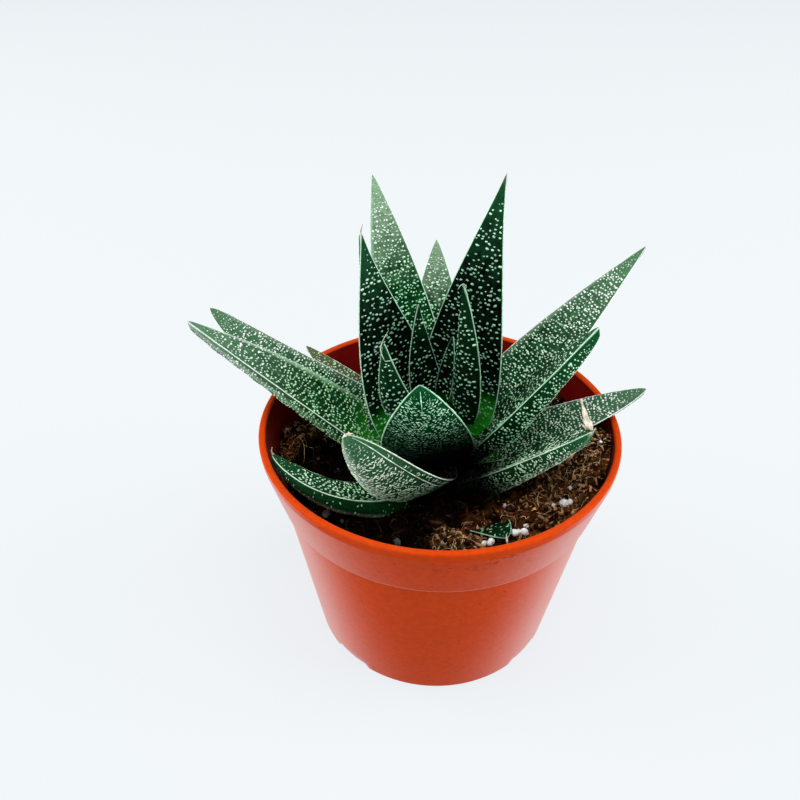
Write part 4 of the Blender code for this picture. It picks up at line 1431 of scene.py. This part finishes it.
@dataclass
class NurseryPot:
    """The pot: a tapered cup with a wide collar, a thick rolled lip and a drained foot."""

    height: float = 0.075
    rim_radius: float = 0.0525
    rim_inner_radius: float = 0.0505
    collar_depth: float = 0.019
    collar_lower_radius: float = 0.0479
    collar_step: float = 0.0007
    base_radius: float = 0.0386
    floor_thickness: float = 0.0018
    wall_thickness: float = 0.0014
    lip_depth: float = 0.0027
    # Painted light: the lip's top, from these depths below the rim, is painted brighter than the wall.
    lip_band: tuple[float, float] = (0.0011, 0.0006)  # below the rim, where the bright lip starts
    out_of_round: float = 0.00005
    station_gap: float = 0.0025
    steps: int = 160
    drain_holes: int = 8
    drain_radius: float = 0.003
    drain_circle_radius: float = 0.029
    notches: int = 4
    notch_first_angle: float = 50.0
    notch_length: float = 0.0125
    notch_height: float = 0.0018
    notch_width: float = 0.0024
    # Smears of soil on the front: x, height, and half their width and height
    smears: tuple[tuple[float, float, float, float], ...] = (
        (0.0085, 0.0700, 0.0085, 0.0014), (0.0185, 0.0712, 0.0045, 0.0011),
        (0.0235, 0.0655, 0.0020, 0.0014), (0.0150, 0.0560, 0.0022, 0.0008),
    )

    def outline(self) -> tuple[Array, Array]:
        """Corners of the half section, and how far each one is rounded.

        Returns:
            (radius, height) corners from the middle of the inside floor, up and over the lip and down
            to the middle of the underside, and their rounding distances.
        """
        foot = self.height - self.collar_depth
        table = np.array((
            (self.base_radius - self.wall_thickness, self.floor_thickness, 0.0010),
            (self.rim_inner_radius - 0.0002, self.height - 0.0018, 0.0003),
            (self.rim_inner_radius, self.height, 0.0007),
            (self.rim_radius, self.height, 0.0008),
            (self.rim_radius - 0.0002, self.height - self.lip_depth, 0.0005),
            (self.collar_lower_radius + 0.0002, foot + 0.0003, 0.0004),
            (self.collar_lower_radius - 0.0004, foot - 0.0001, 0.0002),
            (self.collar_lower_radius - self.collar_step - 0.0001, foot - 0.0006, 0.0004),
            (self.base_radius, 0.0, 0.0006),
            (self.base_radius - 0.0022, 0.0, 0.0003),
        ))
        return table[:, :2], table[:, 2]

    def section(self) -> Array:
        """The outline with each corner rounded and its straight runs divided.

        A corner becomes a curve (1 - t)^2 * before + 2 * t * (1 - t) * corner + t^2 * after, where
        before and after lie a rounding distance away from the corner.

        Returns:
            (radius, height) points.
        """
        corners, rounding = self.outline()
        ends = np.vstack([corners[:1] * (0.0, 1.0), corners, corners[-1:] * (0.0, 1.0)])
        before = corners + unit(ends[:-2] - corners) * rounding[:, None]
        after = corners + unit(ends[2:] - corners) * rounding[:, None]
        t = np.linspace(0.0, 1.0, 6)[None, :, None]
        arcs = ((1.0 - t) ** 2 * before[:, None] + 2.0 * t * (1.0 - t) * corners[:, None]
                + t ** 2 * after[:, None])
        line = arcs.reshape(-1, 2)
        run = np.concatenate([[0.0], np.cumsum(np.linalg.norm(np.diff(line, axis=0), axis=1))])
        stations = np.unique(np.concatenate([run, np.arange(0.0, run[-1], self.station_gap)]))
        return np.stack([np.interp(stations, run, part) for part in line.T], axis=1)

    def build(self) -> Shape:
        """The turned cup: its section turned about the axis, a hair out of round, with foot notches.

        A notch lifts the points of the foot's outer edge to its height within its length.

        Returns:
            The surface, with the inner wall marked for painted shade, the lip's top for painted light, and
            the soiled patch marked.
        """
        section = self.section()
        turn = -np.arange(self.steps) * FULL_TURN / self.steps
        radius, high = [axis[:, None] * np.ones(self.steps) for axis in section.T]
        inner = np.arange(len(section)) < np.argmax(section[:, 1])
        radius = radius - (self.out_of_round * (1.0 + np.cos(2.0 * turn + 0.7))
                           * (high / self.height) ** 2)
        heading = np.degrees(turn)[None, :] - self.notch_first_angle
        off = (heading + 180.0 / self.notches) % (360.0 / self.notches) - 180.0 / self.notches
        arc = np.radians(np.abs(off)) * self.base_radius
        low = (radius > self.base_radius - self.notch_width) & (high < self.notch_height)
        lift = low & (arc < 0.5 * self.notch_length) & ~inner[:, None]
        rings = around(radius, turn, np.where(lift, self.notch_height, high))
        x, y, level = rings.reshape(-1, 3).T
        lip_from, lip_to = [self.height - depth for depth in self.lip_band]
        # The inner wall below the lip gets painted shade; the lip's top gets painted light.
        inside = np.repeat(inner, self.steps) & (level < lip_to)
        lip = smooth_step(level, lip_from, lip_to) * ~inside
        front = (y < 0.0) * (np.hypot(x, y) > self.base_radius) * ~inside
        soiled = np.zeros(len(x))
        for across, up, wide, tall in self.smears:
            far = ((x - across) / wide) ** 2 + ((level - up) / tall) ** 2
            soiled = np.maximum(soiled, np.exp(-far) * front)
        poles = np.array([[0.0, 0.0, self.floor_thickness], [0.0, 0.0, 0.0]])
        return closed_rings(rings, poles).marked(
            np.append(inside, (1.0, 0.0)), np.append(lip, (0.0, 0.0)), np.append(soiled, (0.0, 0.0)), 1.0)

    def cut_drain_holes(self, piece: bpy.types.Object) -> None:
        """Cut the round drain holes through the floor.

        Args:
            piece: The pot's piece.
        """
        shape = bmesh.new()
        for index in range(self.drain_holes):
            turn = math.radians((index + 0.5) * 360.0 / self.drain_holes)
            place = Vector((math.cos(turn), math.sin(turn), 0.0)) * self.drain_circle_radius
            bmesh.ops.create_cone(shape, cap_ends=True, segments=28, radius1=self.drain_radius,
                                  radius2=self.drain_radius, depth=4.0 * self.floor_thickness,
                                  matrix=Matrix.Translation(place))
        mesh = bpy.data.meshes.new("drain_cutter")
        shape.to_mesh(mesh)
        shape.free()
        cutter = linked("drain_cutter", mesh)
        cut = piece.modifiers.new("drain", "BOOLEAN")
        cut.object, cut.solver = cutter, "EXACT"
        bpy.context.view_layer.update()
        seen = piece.evaluated_get(bpy.context.evaluated_depsgraph_get())
        cut_mesh = bpy.data.meshes.new_from_object(seen)
        piece.modifiers.clear()
        piece.data = cut_mesh
        bpy.data.objects.remove(cutter)

    def dress(self) -> None:
        """Make the pot's piece in the place of its solid."""
        self.cut_drain_holes(make_piece("pot_shell", self.build(), PotFinish().make(), ("pot",)))


# Soil


@dataclass
class PottingSoil:
    """Peat with crumbs, coir fibres and perlite, lower round the crown and sloping a little."""

    level: float = 0.0635
    tilt: float = 0.0035
    tilt_heading: float = -20.0
    tilt_radius: float = 0.0495
    dip: float = 0.0045
    dip_radius: float = 0.020
    foot: float = 0.0021
    foot_radius: float = 0.0366
    foot_flat: float = 0.002  # how far inside the foot's edge its first ring lies
    top_radius: float = 0.0479
    middle_radius: float = 0.0004
    lean: float = 0.18  # of the pot's wall
    rings: int = 84
    steps: int = 300
    crumbs: tuple[int, int] = (2400, 31)  # how many, and what picks their random numbers
    fibres: tuple[int, int] = (640, 41)
    small_grains: tuple[int, int] = (26, 51)
    chips: tuple[int, int] = (7200, 61)
    fibre_steps: int = 10
    crumb_size: Spread = (0.00028, 0.00085, 3.0)
    chip_size: Spread = (0.00030, 0.00080, 2.0)
    # A chip's length, breadth and thickness, each from and to, as shares of its size
    chip_axes: tuple[tuple[float, float], ...] = ((0.9, 2.5), (0.28, 0.75), (0.18, 0.50))
    chip_share: tuple[float, float] = (0.26, 0.74)  # a share kept everywhere, and more where it is dry; the painted shade gets only the first
    fibre_length: Spread = (0.0014, 0.0060, 2.0)
    fibre_lift: Spread = (0.0001, 0.0014, 3.0)
    fibre_radius: Spread = (0.00006, 0.00013, 2.0)
    fibre_bend: float = 1.1
    fibre_sway: float = 0.5
    grain_size: Spread = (0.00030, 0.0004, 1.0)
    stone_lumps: tuple[float, float] = (0.78, 1.18)
    nest_share: float = 0.36
    tones: tuple[float, int] = (0.002, 22)  # pitch and seed
    patches: tuple[float, int] = (0.006, 21)
    nest_radius: float = 0.0045
    reach: float = 0.0467  # of what lies loose
    fibre_reach: float = 0.0468
    fibre: GrainFinish = GrainFinish("coir", (0.160, 0.060, 0.014), (1.0, 0.72, 0.38), 1500.0)
    chip: GrainFinish = GrainFinish("bark_chips", (0.012, 0.003, 0.001), (1.0, 0.52, 0.24), 1200.0)
    stone: GrainFinish = GrainFinish("perlite", (0.74, 0.70, 0.64), (1.0, 0.99, 0.96), 1400.0,
                                     depth=0.22)
    # Clumps: height, pitch and seed
    clumps: tuple[tuple[float, float, int], ...] = (
        (0.0010, 0.0075, 11), (0.0010, 0.0036, 12), (0.0008, 0.0017, 13), (0.00040, 0.0008, 14))
    # A mound at the front and banks at both sides: height, place and radius
    hills: tuple[tuple[float, tuple[float, float], float], ...] = (
        (0.0026, (0.003, -0.0385), 0.0038), (0.0060, (-0.0440, 0.0035), 0.0085),
        (0.0060, (0.0470, -0.0040), 0.0140))
    # Patches of painted shade under the crown, in front and at the left: place, stretch, inner and outer
    # edge
    painted_shade: tuple[tuple[float, ...], ...] = (
        (0.0, -0.004, 1.0, 1.0, 0.0225, 0.0330), (-0.0150, -0.0330, 1.5, 1.0, 0.0095, 0.0145),
        (-0.0330, -0.0100, 1.0, 1.1, 0.0095, 0.0140))
    # Where fibres lie in nests
    nests: tuple[tuple[float, float], ...] = (
        (0.003, -0.0385), (-0.0405, 0.0030), (0.036, -0.018), (0.041, -0.004))
    # Perlite grains: heading, distance from the axis and radius
    grains: tuple[Point, ...] = (
        (-71.5, 0.0412, 0.0009), (-70.0, 0.0425, 0.0010), (-60.5, 0.0425, 0.0010),
        (-58.5, 0.0418, 0.0009), (-56.5, 0.0425, 0.0012), (-54.5, 0.0412, 0.0008),
        (-35.0, 0.0425, 0.0014), (-33.5, 0.0437, 0.0009), (-27.0, 0.0415, 0.0007),
        (-153.0, 0.0425, 0.0011), (-137.0, 0.0410, 0.0012), (-131.0, 0.0425, 0.0008),
        (-104.0, 0.0400, 0.0011), (62.0, 0.0360, 0.0016), (118.0, 0.0400, 0.0014),
    )

    def height(self, x: Array, y: Array) -> Array:
        """Height of the surface: slope, dip, clumps of four sizes, a mound and banks.

        Args:
            x: Places along X.
            y: Places along Y.

        Returns:
            Heights.
        """
        turn = math.radians(self.tilt_heading)
        slope = self.tilt * (x * math.cos(turn) + y * math.sin(turn)) / self.tilt_radius
        top = self.level + slope - self.dip * hump(x, y, (0.0, 0.0), self.dip_radius)
        top = top + sum(high * smooth_noise(x, y, pitch, seed) for high, pitch, seed in self.clumps)
        for high, spot, radius in self.hills:
            top = top + high * hump(x, y, spot, radius)
        return top

    def ground(self, out: Array, turn: Array) -> Array:
        """Points of the surface, wider where it stands high, as the pot's wall leans outwards.

        A point's distance from the axis grows by lean * rise / radius * (out / radius)^6 of itself.

        Args:
            out: Distances from the axis.
            turn: Angles about it.

        Returns:
            The points.
        """
        x, y = out * np.cos(turn), out * np.sin(turn)
        top = self.height(x, y)
        spread = 1.0 + self.lean * (top - self.level) / self.top_radius * (out / self.top_radius) ** 6
        return np.stack([x * spread, y * spread, top], axis=-1)

    def painted_shade_amount(self, points: Array) -> Array:
        """1 where shade is painted on the soil, and 0 elsewhere.

        Args:
            points: The places.

        Returns:
            One value for each.
        """
        x, y = points[:, 0], points[:, 1]
        return np.maximum.reduce([
            1.0 - smooth_step(np.hypot((x - at_x) / long, (y - at_y) / wide), inner, outer)
            for at_x, at_y, long, wide, inner, outer in self.painted_shade])

    def dryness(self, points: Array) -> Array:
        """How dry and golden the surface is: most at the right, on the mound and at the far left, and none
        under the painted shade.

        Args:
            points: The places.

        Returns:
            One value for each.
        """
        x, y = points[:, 0], points[:, 1]
        right = 0.8 * smooth_step(x - 0.25 * np.abs(y + 0.01), 0.022, 0.034)
        patches = 0.55 * smooth_step(smooth_noise(x, y, *self.patches), 0.0, 0.6)
        mound, left = hump(x, y, (0.003, -0.0385), 0.0048), hump(x, y, (-0.0410, 0.004), 0.0080)
        return np.maximum.reduce([right, mound, left, patches]) * (1.0 - self.painted_shade_amount(points))

    def bed(self) -> Shape:
        """A closed body: a clumped top, a wall that follows the pot, and a flat foot.

        Returns:
            The surface.
        """
        turn = np.arange(self.steps) * FULL_TURN / self.steps
        out = np.linspace(self.top_radius, self.middle_radius, self.rings)[:, None]
        feet = [around(radius, turn, self.foot)[None]
                for radius in (self.foot_radius - self.foot_flat, self.foot_radius)]
        rings = np.concatenate([*feet, self.ground(out, turn)])
        flat = rings.reshape(-1, 3)
        tone = 0.5 + 0.5 * smooth_noise(flat[:, 0], flat[:, 1], *self.tones)
        middle = self.height(np.zeros(1), np.zeros(1))[0]
        poles = np.array([[0.0, 0.0, self.foot], [0.0, 0.0, middle]])
        ends = (0.0, 0.0)
        # The marks: tone, how dry and golden, and the painted shade.
        return closed_rings(rings, poles).marked(
            np.append(tone, ends), np.append(self.dryness(flat), ends),
            np.append(self.painted_shade_amount(flat), ends), 1.0)

    def scattered(self, count: int, seed: int) -> tuple[np.random.Generator, Array]:
        """Random places on the surface, spread evenly over its area.

        Args:
            count: How many.
            seed: Picks the random numbers.

        Returns:
            The random numbers' source, and count x 3 places.
        """
        rng = np.random.default_rng(seed)
        out = self.reach * np.sqrt(rng.uniform(0.03, 1.0, count))
        return rng, self.ground(out, rng.uniform(0.0, FULL_TURN, count))

    def rubble(self, centres: Array, radii: Array, level: int, rng: np.random.Generator,
               squash: float) -> Shape:
        """Lumpy stones: balls whose points are moved in and out at random, turned at random.

        Args:
            centres: Their places.
            radii: Their sizes.
            level: How finely each ball is divided.
            rng: The source of random numbers.
            squash: The least length of an axis, as a share of the radius.

        Returns:
            The stones as one surface.
        """
        axes = np.linalg.qr(rng.normal(size=(len(centres), 3, 3)))[0]
        axes[np.linalg.det(axes) < 0.0, 0] *= -1.0
        stones = copies(ball(level), centres, axes,
                        radii[:, None] * rng.uniform(squash, 1.1, (len(centres), 3)))
        middle = np.repeat(centres, len(stones.points) // len(centres), axis=0)
        lumps = rng.uniform(*self.stone_lumps, len(stones.points))[:, None]
        return Shape(middle + (stones.points - middle) * lumps, stones.faces)

    def crumb_shape(self) -> Shape:
        """Loose crumbs of peat, most of them small, as one surface."""
        rng, places = self.scattered(*self.crumbs)
        count = len(places)
        radii = by_chance(rng, count, self.crumb_size)
        places[:, 2] += radii * 0.35
        # The third mark carries the painted shade.
        return self.rubble(places, radii, 1, rng, 0.6).marked(
            rng.random(count), rng.random(count) ** 2 * 1.2, self.painted_shade_amount(places), 1.0)

    def chip_shape(self) -> Shape:
        """Flat golden-brown flakes and splinters, thickest where the soil is dry.

        Returns:
            The flakes as one surface.
        """
        rng, places = self.scattered(*self.chips)
        dry = self.dryness(places)
        few, more = self.chip_share
        keep = rng.random(len(places)) < few + more * dry
        places, dry = places[keep], dry[keep]
        count = len(places)
        size = by_chance(rng, count, self.chip_size)
        heading = rng.uniform(0.0, FULL_TURN, count)
        ahead = np.stack([np.cos(heading), np.sin(heading), rng.normal(0.0, 0.6, count)], axis=1)
        out = unit(np.stack([rng.normal(0.0, 0.7, count), rng.normal(0.0, 0.7, count), np.ones(count)],
                            axis=1))
        side = unit(np.cross(out, ahead))
        sizes = size[:, None] * np.stack([rng.uniform(*span, count) for span in self.chip_axes], axis=1)
        places[:, 2] += size * rng.uniform(0.0, 0.5, count)
        flakes = copies(ball(1), places, np.stack([np.cross(side, out), side, out], axis=1), sizes,
                        rng.normal(0.0, 0.25, count))
        flakes = Shape(flakes.points + rng.normal(0.0, 0.00005, flakes.points.shape), flakes.faces)
        tone = np.where(rng.random(count) < 0.46, rng.uniform(0.30, 1.0, count),
                        rng.uniform(0.0, 0.10, count))
        # Chips are darker where the soil is not dry, which takes in the painted shade; the third mark
        # carries the painted shade itself.
        return flakes.marked(tone * (0.30 + 0.70 * dry), 0.0, self.painted_shade_amount(places), 1.0)

    def fibre_shape(self) -> Shape:
        """Coir fibres: thin threads that lie on the soil in slack curves and lift here and there.

        A thread's heading swings as bend * share + sway * sin(2 * pi * share), and its height is the
        soil's under it plus a low arc.

        Returns:
            The fibres as one surface.
        """
        rng, places = self.scattered(*self.fibres)
        count, share = len(places), np.linspace(0.0, 1.0, self.fibre_steps)
        dense = rng.random(count) < self.nest_share
        near = np.array(self.nests)[rng.integers(0, len(self.nests), count)]
        near = near + rng.normal(0.0, self.nest_radius, (count, 2))
        places[:, :2] = np.where(dense[:, None], near, places[:, :2])
        length = by_chance(rng, count, self.fibre_length)
        heading = rng.uniform(0.0, FULL_TURN, count)[:, None]
        heading = heading + rng.normal(0.0, self.fibre_bend, count)[:, None] * share
        heading = heading + rng.normal(0.0, self.fibre_sway, count)[:, None] * np.sin(FULL_TURN * share)
        stride = length[:, None] / (self.fibre_steps - 1)
        x = places[:, :1] + np.cumsum(np.cos(heading) * stride, axis=1)
        y = places[:, 1:2] + np.cumsum(np.sin(heading) * stride, axis=1)
        pull = np.minimum(1.0, self.fibre_reach / np.maximum(np.hypot(x, y), 1e-6))
        x, y = x * pull, y * pull
        lift = by_chance(rng, count, self.fibre_lift)[:, None] * np.sin(math.pi * share)
        paths = np.stack([x, y, self.height(x, y) + lift + 0.00008], axis=-1)
        radius = by_chance(rng, count, self.fibre_radius)[:, None] * (1.0 - 0.5 * share)
        tone = rng.random(count) ** np.where(dense, 0.7, 1.5)
        # The third mark carries the painted shade.
        return sweep(paths, radius, 4).marked(tone, 0.0, self.painted_shade_amount(places), 1.0)

    def perlite_shape(self) -> Shape:
        """White grains that lie half sunk, the named ones and a few small ones.

        Returns:
            The grains as one surface.
        """
        rng, few = self.scattered(*self.small_grains)
        heading, out, size = np.array(self.grains).T
        placed = around(out, np.radians(heading), 0.0)
        placed[:, 2] = self.height(placed[:, 0], placed[:, 1]) + 0.35 * size
        small = by_chance(rng, len(few), self.grain_size)
        few[:, 2] += 0.3 * small
        centres = np.concatenate([placed, few])
        stones = self.rubble(centres, np.concatenate([size, small]), 2, rng, 0.8)
        # The third mark carries the painted shade.
        return stones.marked(rng.uniform(0.6, 1.0, len(centres)), 0.0, self.painted_shade_amount(centres), 1.0)

    def dress(self) -> None:
        """Make the soil's pieces; its bed stands for the solid."""
        peat = SoilFinish().make()
        make_piece("peat_bed", self.bed(), peat, ("soil",))
        make_piece("peat_crumbs", self.crumb_shape(), peat)
        make_piece("bark_chips", self.chip_shape(), self.chip.make())
        make_piece("coir_fibres", self.fibre_shape(), self.fibre.make())
        make_piece("perlite_grains", self.perlite_shape(), self.stone.make())


# Studio


@dataclass
class Studio:
    """A pale floor, soft light from all round and above, and the camera."""

    floor_reach: float = 6.0
    floor_sides: int = 64
    floor_height: float = -0.00002
    sky_colour: Colour = (0.95, 0.975, 1.0)
    sky_strength: float = 0.52
    backdrop_strength: float = 0.90
    aim: Point = (0.0, 0.0, 0.07)
    # Lamps: name, place, side and watts
    lamps: tuple[tuple[str, Point, float, float], ...] = (
        ("left_lamp", (-1.25, 0.05, 0.50), 1.1, 17.0),
        ("right_lamp", (1.25, 0.05, 0.50), 1.1, 17.0),
        ("top_lamp", (0.10, -0.25, 1.30), 0.8, 8.0),
    )
    camera_place: Point = (0.0, -0.17802, 0.21403)
    camera_right: Point = (0.9978, 0.0657, 0.0021)
    camera_up: Point = (-0.0408, 0.5946, 0.8030)
    camera_back: Point = (0.0515, -0.8014, 0.5960)
    lens: float = 34.65

    def floor(self) -> None:
        """A flat round floor just under the pot."""
        turn = np.arange(self.floor_sides) * FULL_TURN / self.floor_sides
        mesh = bpy.data.meshes.new("studio_floor")
        points = around(self.floor_reach, turn, self.floor_height)
        mesh.from_pydata(points.tolist(), [], [list(range(self.floor_sides))])
        mesh.materials.append(PaperFinish().make())
        linked("studio_floor", mesh)

    def lamp(self, name: str, place: Point, size: float, power: float) -> None:
        """A square soft lamp that faces the plant.

        Args:
            name: Its name.
            place: Where it stands.
            size: Its side.
            power: Its power in watts.
        """
        light = bpy.data.lights.new(name, "AREA")
        light.size, light.energy = size, power
        lamp = linked(name, light)
        lamp.location = place
        lamp.rotation_euler = (Vector(self.aim) - Vector(place)).to_track_quat("-Z", "Y").to_euler()

    def light(self) -> None:
        """Even light from the sky, a paler backdrop, and large soft lamps at both sides and above."""
        world = bpy.data.worlds.new("studio_sky")
        world.use_nodes = True
        tree = world.node_tree
        sky, backdrop = tree.nodes["Background"], tree.nodes.new("ShaderNodeBackground")
        choice = tree.nodes.new("ShaderNodeMixShader")
        tree.links.new(tree.nodes.new("ShaderNodeLightPath").outputs["Is Camera Ray"], choice.inputs[0])
        for number, (paper, strength) in enumerate(
                ((sky, self.sky_strength), (backdrop, self.backdrop_strength)), 1):
            paper.inputs["Color"].default_value = (*self.sky_colour, 1.0)
            paper.inputs["Strength"].default_value = strength
            tree.links.new(paper.outputs[0], choice.inputs[number])
        tree.links.new(choice.outputs[0], tree.nodes["World Output"].inputs[0])
        bpy.context.scene.world = world
        for lamp in self.lamps:
            self.lamp(*lamp)

    def camera(self) -> None:
        """The camera, where the photograph was taken from."""
        data = bpy.data.cameras.new("photo_camera")
        data.lens, data.sensor_width, data.clip_start = self.lens, 36.0, 0.01
        camera = linked("photo_camera", data)
        columns = (self.camera_right, self.camera_up, self.camera_back, self.camera_place)
        camera.matrix_world = Matrix([*zip(*columns), (0.0, 0.0, 0.0, 1.0)])
        bpy.context.scene.camera = camera

    def build(self) -> None:
        """Set up the whole studio."""
        self.floor()
        self.light()
        self.camera()
        bpy.context.scene.view_settings.view_transform = "Standard"


def main() -> None:
    """Build the studio, the pot, the soil and the plant."""
    logging.basicConfig(level=logging.INFO, format="%(name)s: %(message)s")
    for make_effect in (make_specks, make_mottle, make_skin):
        make_effect()
    Studio().build()
    NurseryPot().dress()
    PottingSoil().dress()
    Rosette().dress()


if __name__ == "__main__":
    main()
